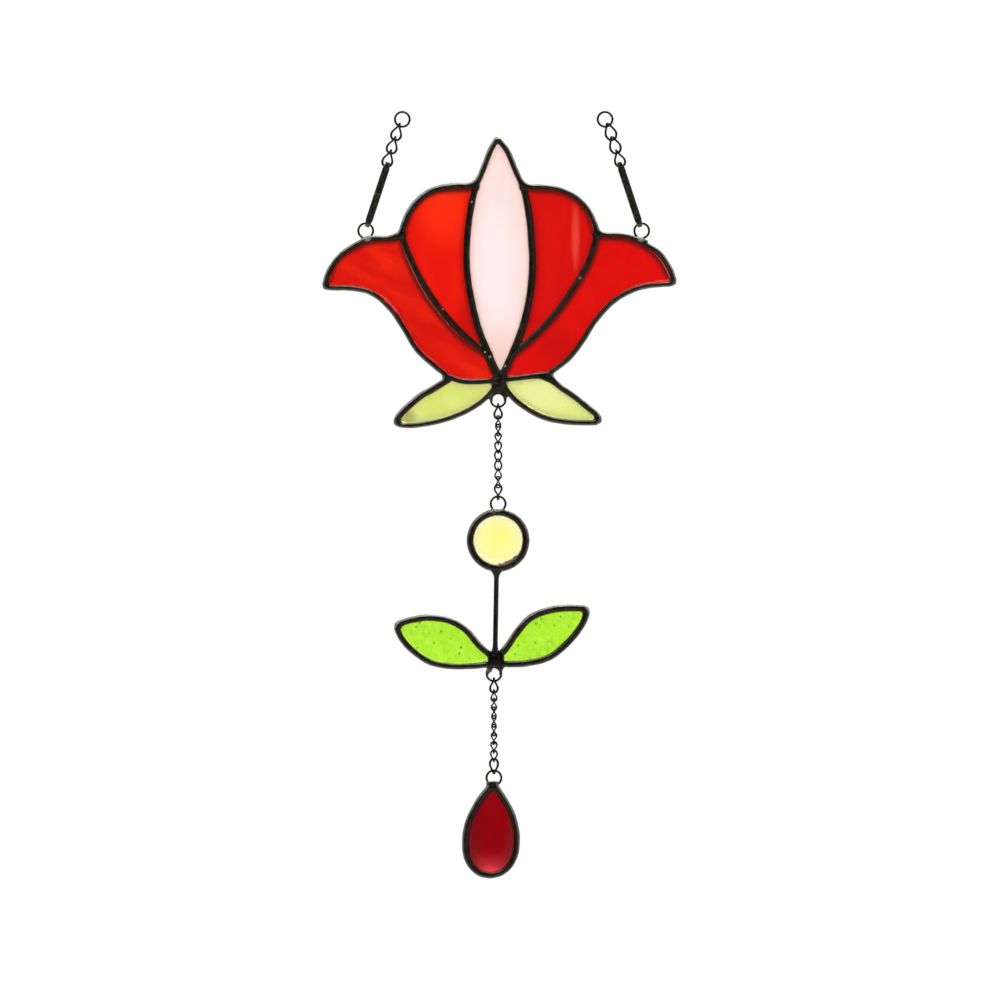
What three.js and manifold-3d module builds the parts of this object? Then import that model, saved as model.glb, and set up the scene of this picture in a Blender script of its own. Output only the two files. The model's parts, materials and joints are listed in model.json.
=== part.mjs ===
// Hanging stained glass flower: a panel of petals and sepals on two chain hangers,
// with a round bud, a stem with two leaves and a drop hung below it on fine chains.
// Millimetres, +Z up, the front faces -Y. The origin is midway between the centres
// of the two hanging rings.
import * as THREE from "three";
import { mergeVertices } from "three/addons/utils/BufferGeometryUtils.js";
import Module from "manifold-3d";

const wasm = await Module();
wasm.setup();

// Glass and solder
const GLASS_THICKNESS = 3;
const BEAD_RISE = 0.8;
const BEAD_LIP = 0.25;
const GLASS_SETBACK = 0.6;
const GLASS_CLEARANCE = 0.3;
const BORDER_WIDTH = 2.5;
const CENTRE_SEAM_WIDTH = 3.3;
const SIDE_SEAM_WIDTH = 2.8;
const BASE_SEAM_WIDTH = 2.4;
const LEAF_BORDER_WIDTH = 2.6;
const DROP_BORDER_WIDTH = 2.8;
const SEAM_STEP = 6;

// Solder fillets where seams meet
const SHOULDER_FILLET_RADIUS = 2.1;
const NOTCH_FILLET_RADIUS = 2.1;
const BASE_FILLET_RADIUS = 2.4;
const BASE_KNOT_RADIUS = 3.2;
const RING_SEAT_RADIUS = 4.2;

// Rings of round wire soldered to the panels, and the two hanging rings
const RING_OUTER_DIAMETER = 7.2;
const RING_WIRE = 0.8;
const WIRE_CLEARANCE = 0.3;

// Flower: width between the two petal tips, and how far in from them its hanging rings sit
const FLOWER_WIDTH = 156.6;
const PANEL_RING_INSET = 16.2;

// Hangers
const HANGER_LEAN_DEG = 18.2;
const HANGER_LINK_LENGTH = 8.5;
const HANGER_LINK_WIDTH = 5.6;
const HANGER_LINK_WIRE = 0.95;
const HANGER_LINK_COUNT = 3;
const STRAP_LENGTH = 30.8;
const STRAP_WIDTH = 3.2;
const STRAP_END_WIDTH = 2;
const STRAP_TAPER_LENGTH = 3.5;
const STRAP_THICKNESS = 0.6;
const STRAP_SLIT = 0.4;

// Fine chains
const LINK_LENGTH = 5.5;
const LINK_WIDTH = 3.5;
const LINK_WIRE = 0.65;
const CONNECTOR_LENGTH = 7.2;
const CONNECTOR_WIDTH = 5;
const CONNECTOR_WIRE = 0.85;
const LINK_PLAY = 0.3;
const LINK_TWIST_DEG = 90;

// How far each link is rolled about the chain's own line, from the top down
const BUD_CHAIN_ROLLS_DEG = [45, 75, 105, 130, 148, 168, 192, 224, 262, 302];
const DROP_CHAIN_ROLLS_DEG = [45, 58, 70, 80, 90, 100, 112, 126, 140, 150];

// Round bud, stem and leaves, measured from the centre of the bud's ring
const BUD_OUTER_DIAMETER = 27.5;
const BUD_RING_SINK = 0.95;
const STEM_DIAMETER = 2;
const STEM_TOP_DIAMETER = 5.4;
const STEM_FOOT_DIAMETER = 3.6;
const STEM_FLARE_LENGTH = 5;
const STEM_TOP_X = -0.7;
const STEM_TOP_SINK = 1.15;
const STEM_FOOT = [-1.4, -67];
const KNOT_CENTRE = [-1.2, -69.4];
const KNOT_WIDTH = 7;
const KNOT_DEPTH = 6;
const KNOT_HEIGHT = 9;
const LEAF_RING_CENTRE = [-1.9, -76.4];

// Drop, measured from the centre of the drop's ring
const DROP_NECK_WIDTH = 5;
const DROP_NECK_HEIGHT = 4.6;
const DROP_NECK_TOP_Z = -2;

// Ring under the flower, measured from the knot of solder above it
const FLOWER_RING_OFFSET = [-0.9, -8.9];

// Derived sizes
const FACE = GLASS_THICKNESS / 2;
const RING_RADIUS = (RING_OUTER_DIAMETER - RING_WIRE) / 2;
const HANGER_LEAN = THREE.MathUtils.degToRad(HANGER_LEAN_DEG);
const LINK_TWIST = THREE.MathUtils.degToRad(LINK_TWIST_DEG);
const PANEL_RING_X = FLOWER_WIDTH / 2 - PANEL_RING_INSET;
const BUD_CENTRE_Z = BUD_RING_SINK - (RING_OUTER_DIAMETER + BUD_OUTER_DIAMETER) / 2;
const STEM_TOP_Z = BUD_CENTRE_Z - BUD_OUTER_DIAMETER / 2 + STEM_TOP_SINK;

// Materials
function material(color, roughness, metalness) {
  return new THREE.MeshStandardMaterial({ color, roughness, metalness });
}

function solder() {
  return material(0x24211f, 0.4, 0.7);
}

function wire() {
  return material(0x1b1a1a, 0.35, 0.8);
}

function mesh(name, geometry, look) {
  const piece = new THREE.Mesh(geometry, look);
  piece.name = name;
  return piece;
}

// Closed solids from geometry and back
function solidOf(geometry) {
  const bare = geometry.clone();
  bare.deleteAttribute("normal");
  bare.deleteAttribute("uv");
  const merged = mergeVertices(bare);
  return new wasm.Manifold(
    new wasm.Mesh({
      numProp: 3,
      vertProperties: new Float32Array(merged.attributes.position.array),
      triVerts: new Uint32Array(merged.index.array),
    }),
  );
}

function geometryOf(solid) {
  const plain = solid.getMesh();
  const geometry = new THREE.BufferGeometry();
  geometry.setAttribute("position", new THREE.BufferAttribute(plain.vertProperties, 3));
  geometry.setIndex(new THREE.BufferAttribute(plain.triVerts, 1));
  geometry.computeVertexNormals();
  return geometry;
}

function union(solids) {
  return solids.reduce((sum, solid) => sum.add(solid));
}

function subtract(solid, cutters) {
  return cutters.reduce((rest, cutter) => rest.subtract(cutter), solid);
}

// Turns a shape drawn in x and y into one that stands in x and z, centred on y = 0
function standUp(geometry, depth) {
  const turn = new THREE.Matrix4().set(1, 0, 0, 0, 0, 0, -1, depth / 2, 0, 1, 0, 0, 0, 0, 0, 1);
  return geometry.applyMatrix4(turn);
}

function plate(points, depth) {
  const outline = new THREE.Shape(points.map(([x, z]) => new THREE.Vector2(x, z)));
  return standUp(new THREE.ExtrudeGeometry(outline, { depth, bevelEnabled: false }), depth);
}

function disc(radius, depth, [x, z], segments) {
  return new THREE.CylinderGeometry(radius, radius, depth, segments).translate(x, 0, z);
}

// Seams: curves in the plane of the panel whose sections always stand square to it
class SeamCurve extends THREE.CatmullRomCurve3 {
  computeFrenetFrames(steps) {
    const tangents = [];
    const normals = [];
    const binormals = [];
    for (let step = 0; step <= steps; step += 1) {
      const tangent = this.getTangentAt(step / steps);
      const normal = new THREE.Vector3(0, 1, 0);
      tangents.push(tangent);
      normals.push(normal);
      binormals.push(new THREE.Vector3().crossVectors(tangent, normal));
    }
    return { tangents, normals, binormals };
  }
}

function seam(width, points) {
  const curve = new SeamCurve(points.map(([x, z]) => new THREE.Vector3(x, 0, z)));
  const steps = Math.max(1, Math.ceil(curve.getLength() / SEAM_STEP));
  return { curve, steps, width };
}

function seamPoints(one) {
  return one.curve.getSpacedPoints(one.steps).map((point) => [point.x, point.z]);
}

// One side of a bead's section, as shares of its half width and of its rise
const BEAD_PROFILE = [
  [1, 0],
  [0.45, 1],
  [-0.45, 1],
  [-1, 0],
];

function beadSection(halfWidth) {
  const base = FACE + BEAD_LIP;
  const rise = BEAD_RISE - BEAD_LIP;
  const front = BEAD_PROFILE.map(([across, up]) => [base + rise * up, halfWidth * across]);
  const back = BEAD_PROFILE.map(([across, up]) => [-base - rise * up, -halfWidth * across]);
  return front.concat(back);
}

function sweep(one, section) {
  const shape = new THREE.Shape(section.map(([x, y]) => new THREE.Vector2(x, y)));
  return solidOf(
    new THREE.ExtrudeGeometry(shape, { steps: one.steps, extrudePath: one.curve }),
  );
}

function bead(one) {
  return sweep(one, beadSection(one.width / 2));
}

function web(one, halfWidth) {
  const tall = GLASS_THICKNESS;
  const section = [
    [tall, -halfWidth],
    [tall, halfWidth],
    [-tall, halfWidth],
    [-tall, -halfWidth],
  ];
  return sweep(one, section);
}

function button(radius, [x, z]) {
  const profile = beadSection(radius)
    .filter(([, across]) => across > 0)
    .sort((a, b) => a[0] - b[0])
    .map(([y, across]) => new THREE.Vector2(across, y));
  const top = profile[profile.length - 1].y;
  const closed = [new THREE.Vector2(0, -top), ...profile, new THREE.Vector2(0, top)];
  return solidOf(new THREE.LatheGeometry(closed, 12).translate(x, 0, z));
}

// A pane fills the loop of seams around it, set back from their centrelines
function loopPoints(loop) {
  const points = [];
  for (const [one, reversed] of loop) {
    const run = seamPoints(one);
    if (reversed) {
      run.reverse();
    }
    points.push(...run.slice(0, -1));
  }
  return points;
}

function paneSolid(loop, setback) {
  const body = solidOf(plate(loopPoints(loop), GLASS_THICKNESS));
  const webs = loop.map(([one]) => web(one, setback));
  const corners = loop.map(([one, reversed]) => {
    const run = seamPoints(one);
    const start = reversed ? run[run.length - 1] : run[0];
    return solidOf(disc(setback, 2 * GLASS_THICKNESS, start, 10));
  });
  return subtract(body, webs.concat(corners));
}

function pane(name, loop, look) {
  return mesh(name, geometryOf(paneSolid(loop, GLASS_SETBACK)), look);
}

function channels(loops) {
  return loops.map((loop) => paneSolid(loop, GLASS_SETBACK - GLASS_CLEARANCE));
}

// Wire rings lie in the plane of the panel
function ringGeometry(wireDiameter) {
  return new THREE.TorusGeometry(RING_RADIUS, wireDiameter / 2, 6, 16).rotateX(Math.PI / 2);
}

function ring(name, [x, z]) {
  const piece = mesh(name, ringGeometry(RING_WIRE), wire());
  piece.position.set(x, 0, z);
  return piece;
}

// The groove that a soldered ring sits in
function ringSeat([x, z]) {
  return solidOf(ringGeometry(RING_WIRE + 2 * WIRE_CLEARANCE).translate(x, 0, z));
}

// The open middle of a soldered ring
function ringHole([x, z]) {
  return solidOf(disc(RING_RADIUS, 4 * GLASS_THICKNESS, [x, z], 18));
}

// Chain links: squarish ovals of wire, twisted about their long axis
const OVAL_POWER = 2.5;

// The turn at a share of the length from the middle: it eases off towards both ends
function twistTurn(twist, share) {
  return (twist / 2) * Math.sin(Math.PI * share);
}

class TwistedOval extends THREE.Curve {
  constructor(length, width, twist) {
    super();
    this.length = length;
    this.width = width;
    this.twist = twist;
  }

  getPoint(t, target = new THREE.Vector3()) {
    const across = Math.sin(2 * Math.PI * t);
    const along = Math.cos(2 * Math.PI * t);
    const x = (this.width / 2) * Math.sign(across) * Math.abs(across) ** (2 / OVAL_POWER);
    const z = (this.length / 2) * Math.sign(along) * Math.abs(along) ** (2 / OVAL_POWER);
    const turn = twistTurn(this.twist, z / this.length);
    return target.set(x * Math.cos(turn), x * Math.sin(turn), z);
  }
}

// A link's own sizes: centreline length and width, wire and the turn of its lower end
function linkKind(length, width, wireDiameter, roll, steps) {
  return {
    length: length - wireDiameter,
    width: width - wireDiameter,
    wire: wireDiameter,
    roll,
    steps,
    lowerTurn: roll - LINK_TWIST / 2,
  };
}

function linkMesh(name, kind) {
  const curve = new TwistedOval(kind.length, kind.width, LINK_TWIST);
  const piece = mesh(name, new THREE.TubeGeometry(curve, kind.steps, kind.wire / 2, 6, true), wire());
  piece.rotation.z = kind.roll;
  return piece;
}

// Hangs links one below the other. The height is that of the wire the first one hangs on.
// Each piece keeps the point and the level direction of the wire it turns on.
function hangLinks(parent, x, top, kinds, names) {
  let height = top.height;
  let wireAbove = top.wire;
  let turnAbove = top.turn;
  kinds.forEach((kind, index) => {
    const upper = height + (wireAbove + kind.wire) / 2 + LINK_PLAY;
    const piece = linkMesh(names[index], kind);
    piece.position.set(x, 0, upper - kind.length / 2);
    piece.userData.pivot = [x, 0, height];
    piece.userData.axis = [Math.cos(turnAbove), Math.sin(turnAbove), 0];
    parent.add(piece);
    height = upper - kind.length;
    wireAbove = kind.wire;
    turnAbove = kind.lowerTurn;
  });
  return { height, wire: wireAbove, turn: turnAbove };
}

// Centre height of a ring that hangs by its upper wire on the wire above it
function hungRingHeight(above) {
  return above.height + (above.wire + RING_WIRE) / 2 + LINK_PLAY - RING_RADIUS;
}

function ringBottom(height) {
  return { height: height - RING_RADIUS, wire: RING_WIRE, turn: 0 };
}

const root = new THREE.Group();
root.name = "stained_glass_flower";

// Hangers: hanging ring, links, strap, down to the panel ring.
// Across the strap's narrowed end a round wire bends away from its middle by the sag.
const halfEnd = STRAP_END_WIDTH / 2;
const ringSag = RING_RADIUS - Math.sqrt(RING_RADIUS ** 2 - halfEnd ** 2);
const hangerKind = linkKind(
  HANGER_LINK_LENGTH,
  HANGER_LINK_WIDTH,
  HANGER_LINK_WIRE,
  LINK_TWIST / 2,
  16,
);
const edgeX = halfEnd + HANGER_LINK_WIRE / 2;
const ovalShare = 1 - ((2 * edgeX) / hangerKind.width) ** OVAL_POWER;
const linkSag = (hangerKind.length / 2) * (1 - ovalShare ** (1 / OVAL_POWER));
const edgeTurn = LINK_TWIST / 2 - twistTurn(LINK_TWIST, 0.5 - linkSag / hangerKind.length);
const linkSway = edgeX * Math.sin(edgeTurn);
const strapGap = Math.max(RING_WIRE, HANGER_LINK_WIRE + 2 * linkSway) + 2 * WIRE_CLEARANCE;

// The strip's width along the strap: full in the middle, narrowed at both ends
function strapTaper() {
  const halfWidth = STRAP_WIDTH / 2;
  const end = STRAP_LENGTH;
  const start = STRAP_LENGTH / 2 - STRAP_TAPER_LENGTH;
  const outline = [
    [halfEnd, end],
    [halfEnd, STRAP_LENGTH / 2 - STRAP_TAPER_LENGTH / 2],
    [halfWidth, start],
    [halfWidth, -start],
    [halfEnd, -STRAP_LENGTH / 2 + STRAP_TAPER_LENGTH / 2],
    [halfEnd, -end],
    [-halfEnd, -end],
    [-halfEnd, -STRAP_LENGTH / 2 + STRAP_TAPER_LENGTH / 2],
    [-halfWidth, -start],
    [-halfWidth, start],
    [-halfEnd, STRAP_LENGTH / 2 - STRAP_TAPER_LENGTH / 2],
    [-halfEnd, end],
  ];
  return solidOf(plate(outline, 4 * (strapGap + 2 * STRAP_THICKNESS)));
}

// A strip folded into a long loop, with a butt joint across one leg
function strapGeometry() {
  const inner = strapGap / 2;
  const outer = inner + STRAP_THICKNESS;
  const reach = STRAP_LENGTH / 2 - outer;
  const outline = new THREE.Shape();
  outline.moveTo(-inner, STRAP_SLIT / 2);
  outline.lineTo(-inner, reach);
  outline.absarc(0, reach, inner, Math.PI, 0, true);
  outline.lineTo(inner, -reach);
  outline.absarc(0, -reach, inner, 0, -Math.PI, true);
  outline.lineTo(-inner, -STRAP_SLIT / 2);
  outline.lineTo(-outer, -STRAP_SLIT / 2);
  outline.lineTo(-outer, -reach);
  outline.absarc(0, -reach, outer, -Math.PI, 0, false);
  outline.lineTo(outer, reach);
  outline.absarc(0, reach, outer, 0, Math.PI, false);
  outline.lineTo(-outer, STRAP_SLIT / 2);
  const options = { depth: STRAP_WIDTH, bevelEnabled: false, curveSegments: 8 };
  const loop = new THREE.ExtrudeGeometry(outline, options);
  loop.translate(0, 0, -STRAP_WIDTH / 2);
  const turn = new THREE.Matrix4().set(0, 0, 1, 0, 1, 0, 0, 0, 0, 1, 0, 0, 0, 0, 0, 1);
  return geometryOf(solidOf(loop.applyMatrix4(turn)).intersect(strapTaper()));
}

const hangerKinds = Array(HANGER_LINK_COUNT).fill(hangerKind);

function hanger(side, sign) {
  const group = new THREE.Group();
  group.rotation.y = -sign * HANGER_LEAN;
  group.add(ring(`hang_ring_${side}`, [0, 0]));
  const names = hangerKinds.map((kind, index) => `hanger_link_${side}_${index + 1}`);
  const lowest = hangLinks(group, 0, ringBottom(0), hangerKinds, names);
  const strap = mesh(`strap_${side}`, strapGeometry(), wire());
  const strapTop = lowest.height + linkSag + strapGap / 2 + STRAP_THICKNESS;
  strap.position.z = strapTop - STRAP_LENGTH / 2;
  strap.rotation.z = sign > 0 ? Math.PI : 0;
  strap.userData.pivot = [0, 0, lowest.height];
  group.add(strap);
  const strapBottom = strapTop - STRAP_LENGTH;
  const ringTop = strapBottom + STRAP_THICKNESS + WIRE_CLEARANCE + RING_WIRE / 2 + ringSag;
  return { group, ringTop };
}

const leftHanger = hanger("left", -1);
const rightHanger = hanger("right", 1);
const hangerReach = RING_RADIUS - leftHanger.ringTop;
const hangerX = PANEL_RING_X - hangerReach * Math.sin(HANGER_LEAN);
const panelRingZ = -hangerReach * Math.cos(HANGER_LEAN);
leftHanger.group.position.x = -hangerX;
rightHanger.group.position.x = hangerX;
root.add(leftHanger.group, rightHanger.group);

// Flower seams, drawn from the line of the two panel rings and scaled to the flower's width
const CROWN_TIP = [-2.7, 40.6];
const LEFT_SHOULDER = [-12.7, 19.6];
const RIGHT_SHOULDER = [8.9, 19.6];
const LEFT_NOTCH = [-45.9, -2.5];
const RIGHT_NOTCH = [42, -2.2];
const LEFT_MEET = [-6.4, -55.8];
const RIGHT_MEET = [3.6, -55.8];
const LEFT_TIP = [-80.1, -25.4];
const RIGHT_TIP = [76.5, -22.9];
const LEFT_BASE = [-25.3, -66];
const RIGHT_BASE = [20.9, -64.4];
const LEFT_SEPAL_TIP = [-48.3, -86];
const RIGHT_SEPAL_TIP = [42.9, -84.8];
const BASE_KNOT = [-1.6, -67.1];

const flowerScale = FLOWER_WIDTH / (RIGHT_TIP[0] - LEFT_TIP[0]);

function drawn([x, z]) {
  return [x * flowerScale, z * flowerScale];
}

function flowerSeam(width, points) {
  return seam(width, points.map(drawn));
}

const CROWN_LEFT_RUN = [[-5.4, 36.4], [-9.8, 27.4]];
const crownLeft = flowerSeam(BORDER_WIDTH, [CROWN_TIP, ...CROWN_LEFT_RUN, LEFT_SHOULDER]);
const CROWN_RIGHT_RUN = [[1.5, 36.4], [5.7, 27.4]];
const crownRight = flowerSeam(BORDER_WIDTH, [CROWN_TIP, ...CROWN_RIGHT_RUN, RIGHT_SHOULDER]);
const CENTRE_LEFT_RUN = [
  [-14.8, 9.4],
  [-16.4, -4.1],
  [-16.4, -17.6],
  [-14.4, -31.1],
  [-11, -44.6],
];
const centreLeft = flowerSeam(CENTRE_SEAM_WIDTH, [LEFT_SHOULDER, ...CENTRE_LEFT_RUN, LEFT_MEET]);
const CENTRE_RIGHT_RUN = [[11.1, 9.4], [12.6, -4.1], [13.1, -17.6], [11.5, -31.1], [8.1, -44.6]];
const centreRight = flowerSeam(CENTRE_SEAM_WIDTH, [RIGHT_SHOULDER, ...CENTRE_RIGHT_RUN, RIGHT_MEET]);
const footLeft = flowerSeam(CENTRE_SEAM_WIDTH, [LEFT_MEET, BASE_KNOT]);
const footRight = flowerSeam(CENTRE_SEAM_WIDTH, [RIGHT_MEET, BASE_KNOT]);
const INNER_LEFT_RUN = [[-21.9, 19.8], [-33.2, 18.1], [-40.4, 12.6], [-44.6, 4.9]];
const innerLeft = flowerSeam(BORDER_WIDTH, [LEFT_SHOULDER, ...INNER_LEFT_RUN, LEFT_NOTCH]);
const INNER_RIGHT_RUN = [[20.8, 19.2], [29.8, 17.1], [36.6, 11.7], [40.3, 4.9]];
const innerRight = flowerSeam(BORDER_WIDTH, [RIGHT_SHOULDER, ...INNER_RIGHT_RUN, RIGHT_NOTCH]);
const SIDE_LEFT_RUN = [[-42.2, -13.1], [-35.6, -26.6], [-25.7, -40.1], [-16.5, -49.1]];
const sideLeft = flowerSeam(SIDE_SEAM_WIDTH, [LEFT_NOTCH, ...SIDE_LEFT_RUN, LEFT_MEET]);
const SIDE_RIGHT_RUN = [[38.5, -13.1], [30.8, -26.6], [20.7, -40.1], [11.2, -49.5]];
const sideRight = flowerSeam(SIDE_SEAM_WIDTH, [RIGHT_NOTCH, ...SIDE_RIGHT_RUN, RIGHT_MEET]);
const OUTER_TOP_LEFT_RUN = [
  [-51.2, -3.1],
  [-60.2, -3.8],
  [-69.2, -7.5],
  [-75.9, -12.3],
  [-79.1, -19.8],
];
const outerTopLeft = flowerSeam(BORDER_WIDTH, [LEFT_NOTCH, ...OUTER_TOP_LEFT_RUN, LEFT_TIP]);
const OUTER_TOP_RIGHT_RUN = [[47.8, -2], [56.8, -3], [65.8, -7.4], [71.7, -13.1]];
const outerTopRight = flowerSeam(BORDER_WIDTH, [RIGHT_NOTCH, ...OUTER_TOP_RIGHT_RUN, RIGHT_TIP]);
const OUTER_LOW_LEFT_RUN = [
  [-69.2, -25.8],
  [-60.2, -27.6],
  [-51.2, -33.6],
  [-44.5, -44.6],
  [-38.9, -53.6],
  [-31.4, -60.3],
];
const outerLowLeft = flowerSeam(BORDER_WIDTH, [LEFT_TIP, ...OUTER_LOW_LEFT_RUN, LEFT_BASE]);
const OUTER_LOW_RIGHT_RUN = [
  [70.3, -23.7],
  [61.3, -25.2],
  [50.1, -31.1],
  [41.3, -40.1],
  [36, -49.1],
  [29.8, -57.2],
];
const outerLowRight = flowerSeam(BORDER_WIDTH, [RIGHT_TIP, ...OUTER_LOW_RIGHT_RUN, RIGHT_BASE]);
const BASE_LEFT_RUN = [[-19.7, -67.5], [-10.7, -67.9]];
const baseLeft = flowerSeam(BASE_SEAM_WIDTH, [LEFT_BASE, ...BASE_LEFT_RUN, BASE_KNOT]);
const BASE_RIGHT_RUN = [[11.8, -65.6]];
const baseRight = flowerSeam(BASE_SEAM_WIDTH, [RIGHT_BASE, ...BASE_RIGHT_RUN, BASE_KNOT]);
const SEPAL_TOP_LEFT_RUN = [[-34.3, -71.6], [-40.4, -76.1], [-45.4, -80.6]];
const sepalTopLeft = flowerSeam(BORDER_WIDTH, [LEFT_BASE, ...SEPAL_TOP_LEFT_RUN, LEFT_SEPAL_TIP]);
const SEPAL_TOP_RIGHT_RUN = [[25.3, -69.3], [29.8, -73.1], [38.8, -79.9]];
const sepalTopRight = flowerSeam(BORDER_WIDTH, [RIGHT_BASE, ...SEPAL_TOP_RIGHT_RUN, RIGHT_SEPAL_TIP]);
const SEPAL_LOW_LEFT_RUN = [
  [-42.2, -87.6],
  [-33.2, -86.5],
  [-24.2, -84.1],
  [-15.2, -80.1],
  [-8.4, -75.4],
];
const sepalLowLeft = flowerSeam(BORDER_WIDTH, [LEFT_SEPAL_TIP, ...SEPAL_LOW_LEFT_RUN, BASE_KNOT]);
const SEPAL_LOW_RIGHT_RUN = [
  [36.6, -86.5],
  [27.6, -85.9],
  [18.6, -83.7],
  [9.6, -79],
  [2.8, -73.6],
];
const sepalLowRight = flowerSeam(BORDER_WIDTH, [RIGHT_SEPAL_TIP, ...SEPAL_LOW_RIGHT_RUN, BASE_KNOT]);

// Each loop runs once round its pane: a seam and whether it is followed backwards
const flowerLoops = {
  petal_centre: [
    [crownLeft, false],
    [centreLeft, false],
    [footLeft, false],
    [footRight, true],
    [centreRight, true],
    [crownRight, true],
  ],
  petal_inner_left: [
    [innerLeft, false],
    [sideLeft, false],
    [centreLeft, true],
  ],
  petal_inner_right: [
    [innerRight, false],
    [sideRight, false],
    [centreRight, true],
  ],
  petal_outer_left: [
    [outerTopLeft, false],
    [outerLowLeft, false],
    [baseLeft, false],
    [footLeft, true],
    [sideLeft, true],
  ],
  petal_outer_right: [
    [outerTopRight, false],
    [outerLowRight, false],
    [baseRight, false],
    [footRight, true],
    [sideRight, true],
  ],
  sepal_left: [
    [sepalTopLeft, false],
    [sepalLowLeft, false],
    [baseLeft, true],
  ],
  sepal_right: [
    [sepalTopRight, false],
    [sepalLowRight, false],
    [baseRight, true],
  ],
};
const flowerColors = {
  petal_centre: 0xf6d8da,
  petal_inner_left: 0xe01b12,
  petal_inner_right: 0xdc1a14,
  petal_outer_left: 0xdc1712,
  petal_outer_right: 0xdc1614,
  sepal_left: 0xd5e07c,
  sepal_right: 0xd8e284,
};
const flowerButtons = [
  [BORDER_WIDTH / 2, CROWN_TIP],
  [SHOULDER_FILLET_RADIUS, LEFT_SHOULDER],
  [SHOULDER_FILLET_RADIUS, RIGHT_SHOULDER],
  [NOTCH_FILLET_RADIUS, LEFT_NOTCH],
  [NOTCH_FILLET_RADIUS, RIGHT_NOTCH],
  [CENTRE_SEAM_WIDTH / 2, LEFT_MEET],
  [CENTRE_SEAM_WIDTH / 2, RIGHT_MEET],
  [BORDER_WIDTH / 2, LEFT_TIP],
  [BORDER_WIDTH / 2, RIGHT_TIP],
  [BASE_FILLET_RADIUS, LEFT_BASE],
  [BASE_FILLET_RADIUS, RIGHT_BASE],
  [BORDER_WIDTH / 2, LEFT_SEPAL_TIP],
  [BORDER_WIDTH / 2, RIGHT_SEPAL_TIP],
  [BASE_KNOT_RADIUS, BASE_KNOT],
];
const panelRingCentres = [
  [-PANEL_RING_X, 0],
  [PANEL_RING_X, 0],
];

// Solder that holds the ring under the flower, midway between it and the knot
const baseKnot = drawn(BASE_KNOT);
const flowerRing = [baseKnot[0] + FLOWER_RING_OFFSET[0], baseKnot[1] + FLOWER_RING_OFFSET[1]];
const ringSeatCentre = [
  (baseKnot[0] + flowerRing[0]) / 2,
  (baseKnot[1] + flowerRing[1] + RING_RADIUS) / 2,
];

function came(name, seams, extras, loops, cutters) {
  const metal = union(seams.map(bead).concat(extras));
  return mesh(name, geometryOf(subtract(metal, channels(loops).concat(cutters))), solder());
}

function seamsOf(loops) {
  return [...new Set(loops.flat().map(([one]) => one))];
}

const flower = new THREE.Group();
flower.position.z = panelRingZ;
flower.userData.pivot = [0, 0, RING_RADIUS * Math.cos(HANGER_LEAN)];
root.add(flower);
for (const [name, loop] of Object.entries(flowerLoops)) {
  flower.add(pane(name, loop, material(flowerColors[name], 0.2, 0)));
}
const flowerBlobs = flowerButtons.map(([radius, centre]) => button(radius, drawn(centre)));
flowerBlobs.push(button(RING_SEAT_RADIUS, ringSeatCentre));
flower.add(
  came(
    "flower_came",
    seamsOf(Object.values(flowerLoops)),
    flowerBlobs,
    Object.values(flowerLoops),
    [
      ...panelRingCentres.map(ringSeat),
      ringSeat(flowerRing),
      ringHole(flowerRing),
    ],
  ),
);
flower.add(ring("panel_ring_left", panelRingCentres[0]));
flower.add(ring("panel_ring_right", panelRingCentres[1]));
flower.add(ring("flower_low_ring", flowerRing));

// Fine chains: a connector, small links and another connector
function fineChain(name, x, top, rollsDeg) {
  const last = rollsDeg.length - 1;
  const kinds = rollsDeg.map((degrees, index) => {
    const roll = THREE.MathUtils.degToRad(degrees);
    if (index === 0 || index === last) {
      return linkKind(CONNECTOR_LENGTH, CONNECTOR_WIDTH, CONNECTOR_WIRE, roll, 16);
    }
    return linkKind(LINK_LENGTH, LINK_WIDTH, LINK_WIRE, roll, 12);
  });
  const names = rollsDeg.map((degrees, index) => `${name}_${index + 1}`);
  return hangLinks(root, x, top, kinds, names);
}

const budX = flowerRing[0];
const flowerRingBottom = ringBottom(panelRingZ + flowerRing[1]);
const budChainEnd = fineChain("bud_chain", budX, flowerRingBottom, BUD_CHAIN_ROLLS_DEG);

// Bud, stem and leaves
const bud = new THREE.Group();
bud.position.set(budX, 0, hungRingHeight(budChainEnd));
bud.userData.pivot = [0, 0, budChainEnd.height - bud.position.z];
bud.userData.axis = [Math.cos(budChainEnd.turn), Math.sin(budChainEnd.turn), 0];
root.add(bud);

const budCentre = [0, BUD_CENTRE_Z];
const budSeamRadius = (BUD_OUTER_DIAMETER - BORDER_WIDTH) / 2;
const budGlassRadius = budSeamRadius - GLASS_SETBACK;
const bezelSection = beadSection(BORDER_WIDTH / 2).map(
  ([y, across]) => new THREE.Vector2(budSeamRadius + across, y),
);
bezelSection.push(bezelSection[0].clone());
const bezelBody = solidOf(
  new THREE.LatheGeometry(bezelSection, 40).translate(0, 0, BUD_CENTRE_Z),
);
const bezelChannel = solidOf(
  disc(budGlassRadius + GLASS_CLEARANCE, GLASS_THICKNESS, budCentre, 40),
);
const bezel = subtract(bezelBody, [bezelChannel, ringSeat([0, 0])]);
bud.add(mesh("bud_bezel", geometryOf(bezel), solder()));
bud.add(
  mesh("bud_glass", disc(budGlassRadius, GLASS_THICKNESS, budCentre, 40), material(0xf8f09a, 0.2, 0)),
);
bud.add(ring("bud_ring", [0, 0]));

// The knot of solder at the foot of the stem, grown by a clearance where it cuts
function knot(growth) {
  const ball = new THREE.SphereGeometry(1, 16, 12);
  ball.scale(KNOT_WIDTH / 2 + growth, KNOT_DEPTH / 2 + growth, KNOT_HEIGHT / 2 + growth);
  return solidOf(ball.translate(KNOT_CENTRE[0], 0, KNOT_CENTRE[1]));
}

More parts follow.
